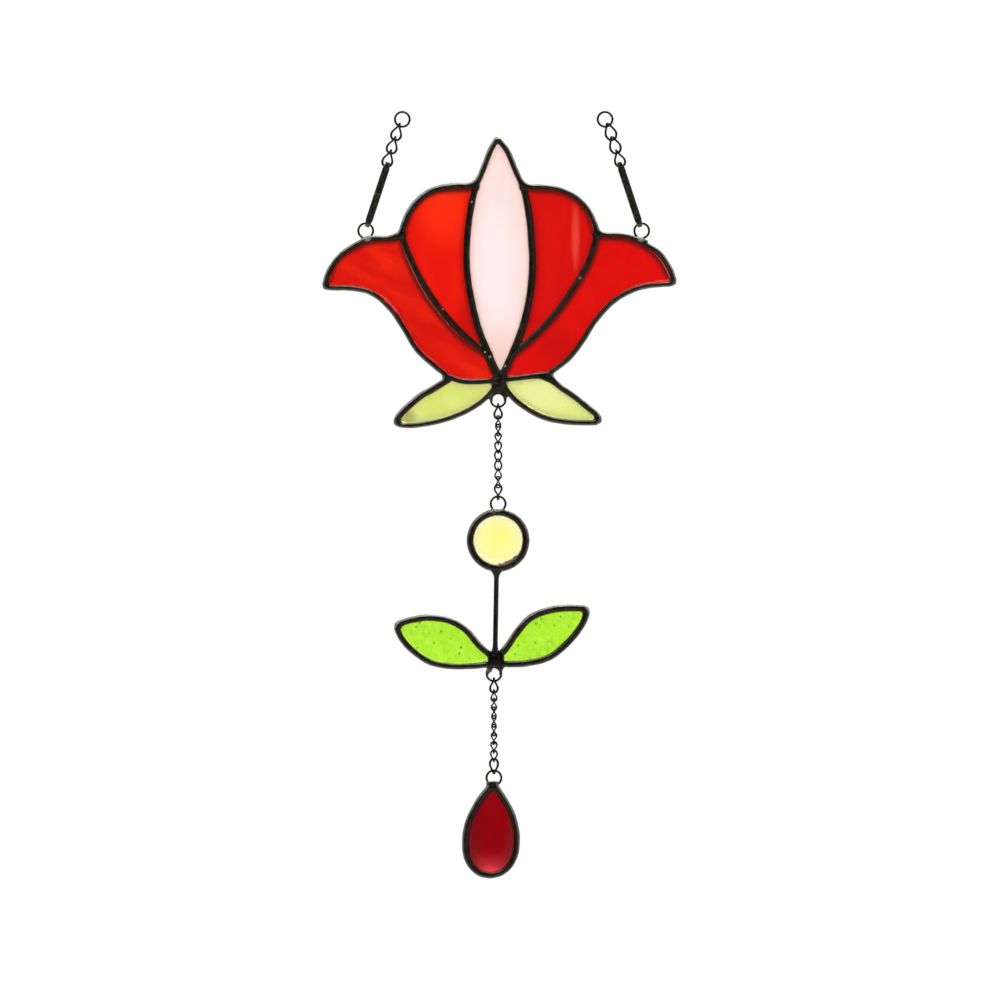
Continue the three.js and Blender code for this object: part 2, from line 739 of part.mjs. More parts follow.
const stemTop = new THREE.Vector3(STEM_TOP_X, 0, STEM_TOP_Z);
const stemFoot = new THREE.Vector3(STEM_FOOT[0], 0, STEM_FOOT[1]);
const stemLength = stemTop.distanceTo(stemFoot);
const stemProfile = [
  [0, -stemLength / 2],
  [STEM_FOOT_DIAMETER / 2, -stemLength / 2],
  [STEM_DIAMETER * 0.62, -stemLength / 2 + STEM_FLARE_LENGTH * 0.6],
  [STEM_DIAMETER / 2, -stemLength / 2 + STEM_FLARE_LENGTH],
  [STEM_DIAMETER / 2, stemLength / 2 - STEM_FLARE_LENGTH],
  [STEM_DIAMETER * 0.62, stemLength / 2 - STEM_FLARE_LENGTH * 0.6],
  [STEM_TOP_DIAMETER / 2, stemLength / 2],
  [0, stemLength / 2],
].map(([radius, y]) => new THREE.Vector2(radius, y));
const stemTurn = new THREE.Quaternion().setFromUnitVectors(
  new THREE.Vector3(0, 1, 0),
  stemTop.clone().sub(stemFoot).normalize(),
);
const stemMiddle = stemTop.clone().add(stemFoot).multiplyScalar(0.5);
const stemGeometry = new THREE.LatheGeometry(stemProfile, 14)
  .applyQuaternion(stemTurn)
  .translate(stemMiddle.x, 0, stemMiddle.z);
const bezelKeepout = solidOf(
  disc(BUD_OUTER_DIAMETER / 2 + WIRE_CLEARANCE, 4 * GLASS_THICKNESS, budCentre, 40),
);
const stem = subtract(solidOf(stemGeometry), [bezelKeepout, knot(WIRE_CLEARANCE)]);
bud.add(mesh("stem", geometryOf(stem), solder()));

const LEAF_ROOT = [-1.2, -69.8];
const LEFT_LEAF_TIP = [-45.5, -55.1];
const RIGHT_LEAF_TIP = [39.9, -47.4];
const LEAF_TOP_LEFT_RUN = [
  [-8.2, -63.6],
  [-14.9, -56.9],
  [-21.7, -52.9],
  [-30.7, -51.2],
  [-39.7, -52.1],
];
const leafTopLeft = seam(LEAF_BORDER_WIDTH, [LEAF_ROOT, ...LEAF_TOP_LEFT_RUN, LEFT_LEAF_TIP]);
const LEAF_LOW_LEFT_RUN = [
  [-43.4, -61.2],
  [-38.4, -65.7],
  [-30.7, -70.9],
  [-21.7, -72.8],
  [-12.7, -72.7],
];
const leafLowLeft = seam(LEAF_BORDER_WIDTH, [LEFT_LEAF_TIP, ...LEAF_LOW_LEFT_RUN, LEAF_ROOT]);
const LEAF_TOP_RIGHT_RUN = [[2.9, -65.7], [7.8, -56.7], [14.3, -51], [23.3, -47.5], [32.3, -46.6]];
const leafTopRight = seam(LEAF_BORDER_WIDTH, [LEAF_ROOT, ...LEAF_TOP_RIGHT_RUN, RIGHT_LEAF_TIP]);
const LEAF_LOW_RIGHT_RUN = [
  [37, -56.7],
  [29.4, -65.7],
  [23.3, -69.3],
  [14.3, -71.6],
  [5.3, -72.1],
];
const leafLowRight = seam(LEAF_BORDER_WIDTH, [RIGHT_LEAF_TIP, ...LEAF_LOW_RIGHT_RUN, LEAF_ROOT]);
const leafLoops = {
  leaf_left: [
    [leafTopLeft, false],
    [leafLowLeft, false],
  ],
  leaf_right: [
    [leafTopRight, false],
    [leafLowRight, false],
  ],
};
for (const [name, loop] of Object.entries(leafLoops)) {
  bud.add(pane(name, loop, material(0xa2f02c, 0.2, 0)));
}
bud.add(
  came(
    "leaf_came",
    seamsOf(Object.values(leafLoops)),
    [
      button(LEAF_BORDER_WIDTH / 2, LEFT_LEAF_TIP),
      button(LEAF_BORDER_WIDTH / 2, RIGHT_LEAF_TIP),
      knot(0),
    ],
    Object.values(leafLoops),
    [ringSeat(LEAF_RING_CENTRE), ringHole(LEAF_RING_CENTRE)],
  ),
);
bud.add(ring("leaf_ring", LEAF_RING_CENTRE));

// Drop
const dropX = budX + LEAF_RING_CENTRE[0];
const leafRingBottom = ringBottom(bud.position.z + LEAF_RING_CENTRE[1]);
const dropChainEnd = fineChain("drop_chain", dropX, leafRingBottom, DROP_CHAIN_ROLLS_DEG);
const drop = new THREE.Group();
drop.position.set(dropX, 0, hungRingHeight(dropChainEnd));
drop.userData.pivot = [0, 0, dropChainEnd.height - drop.position.z];
drop.userData.axis = [Math.cos(dropChainEnd.turn), Math.sin(dropChainEnd.turn), 0];
root.add(drop);

const DROP_TOP = [-0.4, -4.2];
const DROP_FOOT = [-1.8, -44.1];
const DROP_LEFT_RUN = [
  [-6.8, -10.1],
  [-10.8, -19.1],
  [-12.7, -28.1],
  [-11.6, -37.1],
  [-7.2, -42.7],
];
const dropLeft = seam(DROP_BORDER_WIDTH, [DROP_TOP, ...DROP_LEFT_RUN, DROP_FOOT]);
const DROP_RIGHT_RUN = [[3.6, -42.8], [8.4, -37.1], [10.4, -28.1], [9.3, -19.1], [5.4, -10.1]];
const dropRight = seam(DROP_BORDER_WIDTH, [DROP_FOOT, ...DROP_RIGHT_RUN, DROP_TOP]);
const dropLoop = [
  [dropLeft, false],
  [dropRight, false],
];
const neck = solidOf(
  plate(
    [
      [-DROP_NECK_WIDTH / 2, DROP_NECK_TOP_Z],
      [-DROP_NECK_WIDTH / 2, DROP_NECK_TOP_Z - DROP_NECK_HEIGHT],
      [DROP_NECK_WIDTH / 2, DROP_NECK_TOP_Z - DROP_NECK_HEIGHT],
      [DROP_NECK_WIDTH / 2, DROP_NECK_TOP_Z],
    ],
    GLASS_THICKNESS,
  ),
);
drop.add(pane("drop_glass", dropLoop, material(0x9a0d16, 0.15, 0)));
drop.add(
  came(
    "drop_bezel",
    [dropLeft, dropRight],
    [button(DROP_BORDER_WIDTH / 2, DROP_TOP), button(DROP_BORDER_WIDTH / 2, DROP_FOOT), neck],
    [dropLoop],
    [ringSeat([0, 0])],
  ),
);
drop.add(ring("drop_ring", [0, 0]));

export default root;
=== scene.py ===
"""Looks of the hanging stained glass flower: soldered panes, chains, bud, leaves and drop."""
import json
import math

import bmesh
import bpy
from mathutils import Matrix, Vector
from mathutils.bvhtree import BVHTree
from mathutils.geometry import interpolate_bezier

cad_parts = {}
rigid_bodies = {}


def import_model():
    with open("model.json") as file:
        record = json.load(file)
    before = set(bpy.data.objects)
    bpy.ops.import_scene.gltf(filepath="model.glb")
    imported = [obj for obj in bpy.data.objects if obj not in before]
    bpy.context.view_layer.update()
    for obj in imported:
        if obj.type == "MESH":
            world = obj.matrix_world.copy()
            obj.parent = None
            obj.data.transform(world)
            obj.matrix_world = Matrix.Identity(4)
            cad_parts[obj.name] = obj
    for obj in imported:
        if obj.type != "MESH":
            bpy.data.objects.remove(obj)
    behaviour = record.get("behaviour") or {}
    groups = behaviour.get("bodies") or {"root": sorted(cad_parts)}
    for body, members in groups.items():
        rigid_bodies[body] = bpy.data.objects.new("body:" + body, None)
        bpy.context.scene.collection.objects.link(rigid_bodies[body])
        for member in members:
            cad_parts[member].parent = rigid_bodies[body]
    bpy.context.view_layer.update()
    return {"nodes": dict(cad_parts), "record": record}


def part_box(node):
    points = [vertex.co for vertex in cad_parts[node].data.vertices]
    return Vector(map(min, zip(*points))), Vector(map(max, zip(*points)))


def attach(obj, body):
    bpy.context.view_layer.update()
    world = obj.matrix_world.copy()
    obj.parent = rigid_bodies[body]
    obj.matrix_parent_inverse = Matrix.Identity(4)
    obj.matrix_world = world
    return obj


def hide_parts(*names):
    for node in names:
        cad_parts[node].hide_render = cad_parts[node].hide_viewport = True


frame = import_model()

MM = 0.001
# Points nearer than this are one point
MERGE_GAP = 0.001
scene = bpy.context.scene

# Camera: straight on, through a long lens, with the view's middle and width on the panel's plane
VIEW_MIDDLE = (-1.67, -171.3)
VIEW_WIDTH = 450.0
CAMERA_DISTANCE = 4000.0
SENSOR_WIDTH = 36.0

# Lamps: name, then place and size in metres, then watts
LAMPS = [
    ("key lamp", (-1.0, -1.3, 1.0), 0.8, 24.0),
    ("fill lamp", (1.3, -1.4, 0.2), 1.2, 12.0),
    ("top lamp", (0.1, -0.2, 1.4), 0.9, 14.0),
    ("back lamp", (0.4, 1.6, 0.8), 1.0, 14.0),
]
# Room: its light on the panel, and how dim it is in what metal mirrors from in front and from below
ROOM_LIGHT = 0.4
ROOM_FRONT = 0.06
ROOM_BELOW = 0.3
# Floor: height and radius in metres, and what it adds to the light on it to pass for the white behind
FLOOR_HEIGHT = -0.62
FLOOR_RADIUS = 3.2
FLOOR_SIDES = 96
FLOOR_PALENESS = 0.55

# Solder beads: their section, how finely a run is drawn and how far its points pull the curve
BEAD_HALF_HEIGHT = 2.3
BEAD_POWER = 2.4
BEAD_SIDES = 16
BEAD_STEP = 1.2
RUN_PULL = 0.36
PUDDLE_RISE = 0.12
PUDDLE_DETAIL = 3
SOLDER_VOXEL = 0.4
SOLDER_FLOW_ROUNDS = 5
SOLDER_LUMP = 0.25
SOLDER_LUMP_SIZE = 4.5
FLOW_SHARE = 0.5

# Patina: its fine grit, and how metallic it stays where it is rubbed to dull grey or painted grey as light
PATINA_GRIT = 0.5
PATINA_GRIT_DEPTH = 0.1
GREY_SHARE_METALLIC = 0.45

# Grey rims, partly rubbed patina and partly painted light: how far past the glass the patina starts to thin,
# and where it is thinnest; up-facing rims start nearer the glass (painted light), undersides keep less grey
# (painted shade)
GREY_RIM_START = 0.6
GREY_RIM_FADE = 0.3
TOP_PAINTED_LIGHT = 0.3
UNDERSIDE_PAINTED_SHADE_SHARE = 0.2
LIP_PAINTED_HIGHLIGHT = 0.5
SIDE_PATINA = 0.75
# Slopes over which a bead's shoulder and its upright side begin, and the thin lip along the glass, which gets
# a painted highlight where it faces up
SHOULDER_TILT = (0.04, 0.25)
SIDE_TILT = (0.55, 0.85)
FACING_UP = (-0.5, 0.5)
LIP_TILT = (0.1, 0.3)
LIP_FACING_UP = (0.7, 0.95)
LIP_REACH = (0.0, 0.3)
# Where the black round a knot ends, in shares of its radius
KNOT_FADE = (0.85, 1.25)
# How much of the wear and painted light each soldered piece shows
FLOWER_WEAR_AND_LIGHT = 1.0
LEAF_WEAR_AND_LIGHT = 0.9
BUD_WEAR_AND_LIGHT = 0.55
DROP_WEAR_AND_LIGHT = 0.65
# Full grey share: wear that leaves no patina, and full painted glints
FULL_GREY = 1.0

# Glass
GLASS_IOR = 1.5
WAVE_DEPTH = 0.4
PANE_VOXEL = 0.7
PANE_FLOW_ROUNDS = 3
PANE_SWELL = 0.5
PANE_RIPPLE = 0.12
PANE_RIPPLE_SIZE = 14.0
BUD_DOME = 0.7
BUD_DOME_STEPS = 10
BUD_STEPS = 64
DROP_VOXEL = 0.5
DROP_DOME = 0.8
DROP_BEVEL = 7.0
DROP_FACE = (0.3, 1.2)
DROP_SWELL = 0.3
# Distances from a pane's edge at which its tint is full and gone, and the slope up to an edge under which
# painted shade is laid
EDGE_FULL = 0.9
EDGE_GONE = 3.2
PAINTED_SHADE_SLOPE = (-1.1, 0.7)
# A face that turns less than this to the front is part of a cut edge
CUT_EDGE_TURN = 0.5
# A point before the panel in metres, from which a look straight through it starts
BEFORE_PANEL = Vector((0.0, -0.02, 0.0))

# Wire
WIRE_SIDES = 12
RING_WIRE = 0.8
RING_COAT = 0.2
RING_STEPS = 48
# Links: length, width, wire and the black coat on it, thinner where the upper fine chain turns most
HANGER_LINK = (8.5, 5.6, 0.95, 0.12)
CHAIN_LINK = (5.5, 3.5, 0.65, 0.2)
CONNECTOR = (7.2, 4.4, 0.85, 0.2)
TURNED_COAT = 0.12
TURNED_LINK = (*CHAIN_LINK[:3], TURNED_COAT)
TURNED_CONNECTOR = (*CONNECTOR[:3], TURNED_COAT)
CHAIN_LINKS = {
    "bud_chain": [CONNECTOR] + [CHAIN_LINK] * 6 + [TURNED_LINK] * 2 + [TURNED_CONNECTOR],
    "drop_chain": [CONNECTOR] + [CHAIN_LINK] * 8 + [CONNECTOR],
}
# How much further the links of the right hanger have turned, from the top down
RIGHT_LINK_TURNS = (-22.0, -20.0, -5.0)
LINK_TWIST = math.radians(90)
LINK_STEPS = 32
OVAL_POWER = 2.5
# How far the coat moves the wire's line out at each bend, so that the links stay free to turn
WIRE_LIFT = 0.12

# Straps: the folded strip, its worn edges and the bright cut where its ends meet
STRAP_LENGTH = 30.8
STRAP_WIDTH = 3.2
STRAP_END_WIDTH = 2.0
STRAP_TAPER = 1.8
STRAP_THICKNESS = 0.6
STRAP_INSIDE = 1.85
STRAP_BEND_STEPS = 12
STRAP_SOFT_EDGE = 0.1
STRAP_SOFT_STEPS = 2
STRAP_SLIT = 0.4
STRAP_CUT_EDGE = 0.35
STRAP_EDGE_WEAR = 0.7
STRAP_FACE_WEAR = 0.2
# Shares of its half width from which the strip's edge is worn
STRAP_EDGE_SHARE = 0.9
# Lines along the strip, in shares of its half width, that keep the wear on its edges narrow
STRAP_LINES = (-0.7, 0.0, 0.7)

# Flower: its panes, and points of its seams in x and z from the middle between the two panel rings
FLOWER_PANES = ["petal_centre", "petal_inner_left", "petal_inner_right", "petal_outer_left",
                "petal_outer_right", "sepal_left", "sepal_right"]
LEFT_SHOULDER = (-12.7, 19.6)
RIGHT_SHOULDER = (8.9, 19.6)
LEFT_NOTCH = (-45.9, -2.5)
RIGHT_NOTCH = (42.0, -2.2)
LEFT_MEET = (-6.4, -55.8)
RIGHT_MEET = (3.6, -55.8)
LEFT_BASE = (-25.0, -65.6)
RIGHT_BASE = (20.1, -64.5)
BASE_KNOT = (-1.6, -67.1)
RING_SEAT = (-2.0, -69.7)

# Outer borders, each with how far its bead reaches over the glass
FLOWER_BORDERS = [
    (1.55, [(-3.3, 41.0), (-5.8, 36.6), (-9.5, 27.3), LEFT_SHOULDER]),
    (1.6, [(-2.4, 41.1), (1.4, 36.4), (5.4, 27.2), RIGHT_SHOULDER]),
    (1.7, [LEFT_SHOULDER, (-21.9, 19.9), (-32.9, 17.4), (-39.6, 12.1), (-44.1, 4.6), LEFT_NOTCH]),
    (1.1, [RIGHT_SHOULDER, (20.8, 19.4), (29.5, 16.8), (36.3, 11.5), (40.2, 4.9), RIGHT_NOTCH]),
    (1.3, [LEFT_NOTCH, (-51.2, -3.4), (-60.2, -3.8), (-69.0, -7.8), (-75.1, -13.0), (-79.3, -19.9),
           (-80.5, -24.3)]),
    (1.1, [RIGHT_NOTCH, (47.8, -1.9), (56.8, -2.9), (65.3, -7.0), (69.5, -9.6), (72.2, -12.9), (75.2, -18.0),
           (76.6, -22.2)]),
    (1.15, [(-79.3, -25.5), (-77.0, -25.7), (-69.2, -25.8), (-60.1, -27.7), (-51.8, -34.1), (-44.4, -44.6),
            (-38.9, -53.6), (-31.5, -60.4), LEFT_BASE]),
    (1.25, [(75.5, -23.9), (70.4, -24.2), (61.4, -25.5), (50.1, -31.1), (41.4, -40.2), (35.7, -49.0),
            (29.5, -57.1), RIGHT_BASE]),
    (1.95, [(-24.8, -66.6), (-33.2, -71.8), (-36.7, -73.6), (-40.9, -77.0), (-44.9, -80.6), (-47.4, -83.3),
            (-48.5, -85.4)]),
    (1.75, [RIGHT_BASE, (24.9, -69.7), (29.9, -73.0), (38.7, -80.0), (41.7, -82.6), (43.1, -84.5)]),
    (1.1, [(-47.6, -87.1), (-45.0, -87.5), (-42.2, -87.6), (-33.2, -86.5), (-24.2, -84.2), (-15.2, -80.2),
           (-8.4, -75.4), BASE_KNOT]),
    (1.4, [(42.0, -86.2), (39.7, -86.4), (27.6, -85.9), (18.5, -84.1), (9.5, -79.5), (2.8, -73.7),
           BASE_KNOT]),
]
FLOWER_RIM = 1.3
# Seams between panes, each with its half width
FLOWER_SEAMS = [
    (1.6, [LEFT_SHOULDER, (-14.8, 9.4), (-16.4, -4.1), (-16.4, -17.6), (-14.4, -31.1), (-11.0, -44.6),
           LEFT_MEET]),
    (1.75, [RIGHT_SHOULDER, (11.0, 9.4), (12.4, -4.1), (12.8, -17.6), (11.3, -31.1), (8.0, -44.6),
            RIGHT_MEET]),
    (2.2, [(-7.6, -54.6), (-4.6, -61.4), BASE_KNOT]),
    (1.7, [RIGHT_MEET, BASE_KNOT]),
    (1.4, [LEFT_NOTCH, (-41.7, -12.9), (-34.8, -26.1), (-24.9, -39.4), (-15.9, -48.5), LEFT_MEET]),
    (1.35, [RIGHT_NOTCH, (38.4, -13.1), (30.7, -26.6), (20.6, -40.1), (11.2, -49.5), RIGHT_MEET]),
    (1.4, [LEFT_BASE, (-19.7, -67.5), (-10.7, -67.9), BASE_KNOT]),
    (1.4, [RIGHT_BASE, (11.8, -65.6), BASE_KNOT]),
    (1.4, [(12.5, -65.5), (16.2, -65.5), (20.6, -67.2), (24.9, -69.7)]),
]
# Puddles of solder where seams meet: place, half width, half height
FLOWER_PUDDLES = [
    (LEFT_SHOULDER, 2.3, 2.3), (RIGHT_SHOULDER, 2.3, 2.3),
    (LEFT_NOTCH, 2.3, 2.3), (RIGHT_NOTCH, 2.3, 2.3),
    ((-25.7, -66.0), 2.1, 2.3), ((20.6, -64.7), 1.9, 2.0),
    (LEFT_MEET, 1.8, 2.0), (RIGHT_MEET, 1.8, 2.0),
    (BASE_KNOT, 3.4, 3.0), (RING_SEAT, 4.0, 3.3),
]
# Rounded corners of the panel: place, radius
FLOWER_CORNERS = [
    ((-2.8, 40.7), 1.7), ((-79.7, -24.8), 1.9), ((75.9, -22.9), 1.9),
    ((-47.7, -86.1), 2.0), ((42.2, -85.1), 2.0),
]
# Solder drawn round the inside corners of the outline
FLOWER_FILLETS = [
    [(-9.9, 26.2), (-13.1, 21.5), (-19.4, 19.8)],
    [(6.4, 24.8), (9.2, 21.0), (15.0, 19.4)],
    [(-44.9, 3.8), (-46.9, -1.2), (-52.2, -3.5)],
    [(40.9, 3.8), (43.1, -0.9), (48.6, -2.0)],
]
FILLET_HALF_WIDTH = 1.2
# Solder run up round the top of a ring: its half width, and its angles from left to right
COLLAR_HALF_WIDTH = 0.8
COLLAR_ANGLES = (195, 165, 130, 90, 50, 15, -15)
# Painted glints on the seams: highlights on lumps laid into the solder's colour as small pale spots
FLOWER_PAINTED_GLINTS = [(-14.3, 12.9), (-27.3, -35.2), (-8.4, -54.6), (-6.2, -56.8), (34.3, -21.3), (0.6, -60.9)]
PAINTED_GLINT_SIZE = 0.6
# Bare solder under the two hanging rings
RING_FEET = [
    [(-63.8, -4.4), (-61.6, -3.4), (-59.2, -3.0)],
    [(59.7, -3.4), (62.0, -4.0), (64.6, -5.2)],
]
RING_FOOT_HALF_WIDTH = 1.1
RING_FOOT_PALE = [(-61.5, -2.6), (62.1, -2.9)]
RING_FOOT_PALE_SIZE = 2.6
# Knots under thick black patina: place, radius
FLOWER_DARK_KNOTS = [(BASE_KNOT, 4.0), (RING_SEAT, 5.0)]

# Bud and leaves: points from the middle of the bud's ring
LEAF_PANES = ["leaf_left", "leaf_right"]
BUD_MIDDLE = (0.0, -16.4)
BUD_RIM_RADIUS = 12.5
BUD_RIM_POINTS = 16
BUD_RIM_OUTER = 1.7
BUD_RIM_INNER = 1.7
# Solder between the ring and the rim: place, half width, half height
BUD_SADDLES = [((0.0, -3.9), 2.4, 1.3), ((-2.5, -3.1), 0.8, 1.2), ((2.3, -3.2), 0.8, 1.2)]
# Painted highlight beside the ring, laid into the solder's colour as a pale spot: place, radius, share
BUD_PAINTED_HIGHLIGHTS = [((-2.2, -2.8), 1.8, 0.6)]
STEM_TOP = (-0.7, -29.0)
STEM_FOOT = (-1.4, -69.0)
STEM_DIAMETER = 2.2
STEM_TOP_FLARE = 8.4
STEM_FOOT_FLARE = 6.8
STEM_TOP_FLARE_LENGTH = 4.8
STEM_FOOT_FLARE_LENGTH = 6.2
STEM_FLARE_POWER = 2.2
STEM_FLARE_STEPS = 6
STEM_END_RISE = 0.6
STEM_HALF_DEPTH = 2.1
STEM_FLATNESS = 4
STEM_SIDES = 24
LEAF_ROOT = (-1.2, -69.8)
LEAF_FOOT = (-1.2, -72.0)
LEAF_BORDERS = [
    (1.75, [LEAF_ROOT, (-8.4, -63.6), (-14.7, -56.5), (-21.5, -52.6), (-30.7, -51.1), (-39.6, -52.2),
            (-44.4, -53.8)]),
    (1.55, [(-45.7, -55.4), (-45.0, -57.5), (-43.2, -61.0), (-38.6, -66.0), (-30.8, -71.2), (-21.7, -73.1),
            (-12.7, -73.1), LEAF_FOOT]),
    (1.95, [LEAF_ROOT, (2.7, -65.6), (8.6, -57.3), (14.4, -51.1), (23.3, -47.6), (32.0, -46.6),
            (38.8, -46.7)]),
    (1.8, [(39.9, -47.9), (39.6, -50.4), (36.6, -56.4), (28.9, -65.0), (23.2, -69.2), (14.3, -71.7),
           (5.3, -72.3), LEAF_FOOT]),
]
LEAF_RIM = 1.35
LEAF_KNOT = (-1.0, -69.4)
LEAF_KNOT_SIZE = (4.0, 4.2)
LEAF_KNOT_RISE = 0.5
LEAF_DARK_KNOTS = [(LEAF_KNOT, 5.0)]
LEAF_CORNERS = [((-44.8, -54.7), 2.0), ((39.0, -47.7), 2.0)]
LEAF_PUDDLES = [((-3.8, -74.4), 1.3, 1.6), ((1.5, -74.0), 1.0, 1.4)]
# Air seeds in the leaves: place, half length
LEAF_SEEDS = [
    (-35.2, -53.4, 0.8), (-36.9, -55.4, 0.5), (-25.7, -57.4, 0.6), (-28.9, -62.4, 0.6), (-36.3, -64.7, 0.5),
    (-16.7, -64.5, 0.7), (-17.4, -67.3, 0.7), (-31.2, -58.3, 0.4), (-21.4, -60.6, 0.4), (-12.6, -69.2, 0.4),
    (17.0, -53.9, 0.5), (19.3, -51.6, 0.6), (27.9, -50.7, 0.5), (25.2, -54.7, 0.5), (16.6, -62.3, 0.7),
    (22.4, -62.0, 0.5), (8.9, -63.7, 0.6), (7.6, -67.7, 0.5), (14.3, -69.5, 0.5), (31.8, -55.2, 0.4),
]
SEED_SHAPE = (0.6, 0.5, 1.0)
SEED_LEAN = 35.0
SEED_DETAIL = 2

# Drop: points from the middle of its ring
DROP_FOOT = (-1.8, -44.0)
DROP_BORDERS = [
    (1.9, [(-1.3, -3.6), (-4.4, -7.2), (-6.1, -9.3), (-9.3, -14.9), (-11.3, -19.1), (-12.9, -28.1),
           (-11.7, -37.1), (-7.1, -42.5), DROP_FOOT]),
    (1.6, [DROP_FOOT, (3.4, -42.6), (8.5, -37.2), (10.3, -28.1), (9.0, -19.1), (7.2, -14.2), (4.3, -9.3),
           (2.8, -7.0), (0.6, -3.6)]),
]
DROP_RIM = 1.45
DROP_NECK = [(-0.6, -1.5), (-0.5, -5.6)]
DROP_NECK_HALF_WIDTH = 2.9

# Red sheets: pane, name, the way its streaks lean in degrees, colour and the colour of its wisps
RED_SHEETS = [
    ("petal_inner_left", "orange red streaky glass", 4.0, "#EA1203", "#F41E06"),
    ("petal_inner_right", "deep red streaky glass", -3.0, "#D90A06", "#E21008"),
    ("petal_outer_left", "warm red streaky glass", 62.0, "#DC1103", "#F4280A"),
    ("petal_outer_right", "even red streaky glass", 40.0, "#E20904", "#E60E06"),
]
# Tints in the glass, and the ruby's painted light and shade: place from the same middle as the piece's
# points, half width, half length, colour
RED_TINTS = [
    ((-27.0, 11.0), 17.0, 26.0, "#FC2F08"),
    ((32.3, -2.5), 2.6, 21.0, "#EC4438"),
    ((-15.0, -42.0), 10.0, 20.0, "#D40A03"),
    ((24.0, -52.0), 14.0, 14.0, "#D20804"),
]
PINK_TINTS = [((-4.0, -16.0), 15.0, 42.0, "#FCECEC"), ((-1.5, -56.0), 9.0, 16.0, "#FCD9CF")]
LIME_CREAM = [((18.0, -74.0), 24.0, 16.0, "#EDF4A4")]
LIME_DULL_TIP = [((-44.0, -84.0), 7.0, 6.0, "#BEB96C")]
BUD_HEART = [(BUD_MIDDLE, 11.0, 11.0, "#FFFA8C")]
BUD_STAIN_PLACE = (5.5, -27.0)
BUD_STAIN_SIZE = (11.0, 9.0)
# Painted light and shade of the ruby's dome: a brighter top, darker flanks and a bright crescent of gathered
# light at its foot
RUBY_PAINTED_LIGHT_AND_SHADE = [
    ((-0.6, -13.0), 5.0, 8.0, "#98060E"),
    ((-10.0, -27.0), 5.5, 17.0, "#7E1018"),
    ((8.5, -27.0), 5.0, 15.0, "#84141C"),
    ((-1.4, -40.5), 12.0, 8.5, "#B41C26"),
    ((-1.6, -43.0), 8.0, 5.0, "#EC3C3E"),
]

# Sockets of a Mix node: its share, the two colours and what they give, and the two numbers
MIX_SHARE, MIX_UNDER, MIX_OVER, MIXED = 0, 6, 7, 2
MIX_FIRST, MIX_SECOND = 2, 3


def linear(hex_colour):
    """An sRGB hex colour as linear red, green and blue with full alpha."""
    parts = [int(hex_colour[i:i + 2], 16) / 255 for i in (1, 3, 5)]
    return tuple(c / 12.92 if c <= 0.04045 else ((c + 0.055) / 1.055) ** 2.4 for c in parts) + (1.0,)


def add(tree, kind, inputs=(), **settings):
    """Add one node with its settings; each input takes a value or another node's output."""
    node = tree.nodes.new("ShaderNode" + kind)
    for name, value in settings.items():
        setattr(node, name, value)
    for name, value in dict(inputs).items():
        if isinstance(value, bpy.types.NodeSocket):
            tree.links.new(value, node.inputs[name])
        else:
            node.inputs[name].default_value = value
    return node


def new_material(name):
    """An empty node material and its nodes."""
    material = bpy.data.materials.new(name)
    material.use_nodes = True
    material.node_tree.nodes.clear()
    return material, material.node_tree


def new_finish(name):
    """An empty node material, its nodes and where each point lies on the piece."""
    material, tree = new_material(name)
    return material, tree, add(tree, "TexCoord").outputs["Object"]


def ramp(value, low, high):
    """0 below low, 1 above high, and eased in between."""
    share = min(max((value - low) / (high - low), 0.0), 1.0)
    return share * share * (3 - 2 * share)


def signed_power(value, power):
    """A power of a number's size, with the number's sign."""
    return math.copysign(abs(value) ** power, value)


def of_kind(items, kind):
    """The items of one kind out of what a bmesh operator gives back."""
    return [item for item in items if isinstance(item, kind)]


def middle(node):
    """Centre of a CAD node's box."""
    low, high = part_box(node)
    return (low + high) / 2


def at(point, origin):
    """A point given in x and z millimetres from an origin in metres."""
    return origin + Vector((point[0] * MM, 0.0, point[1] * MM))


def flat(vector):
    """A vector laid into the panel's plane."""
    return Vector((vector.x, 0.0, vector.z))


# Materials


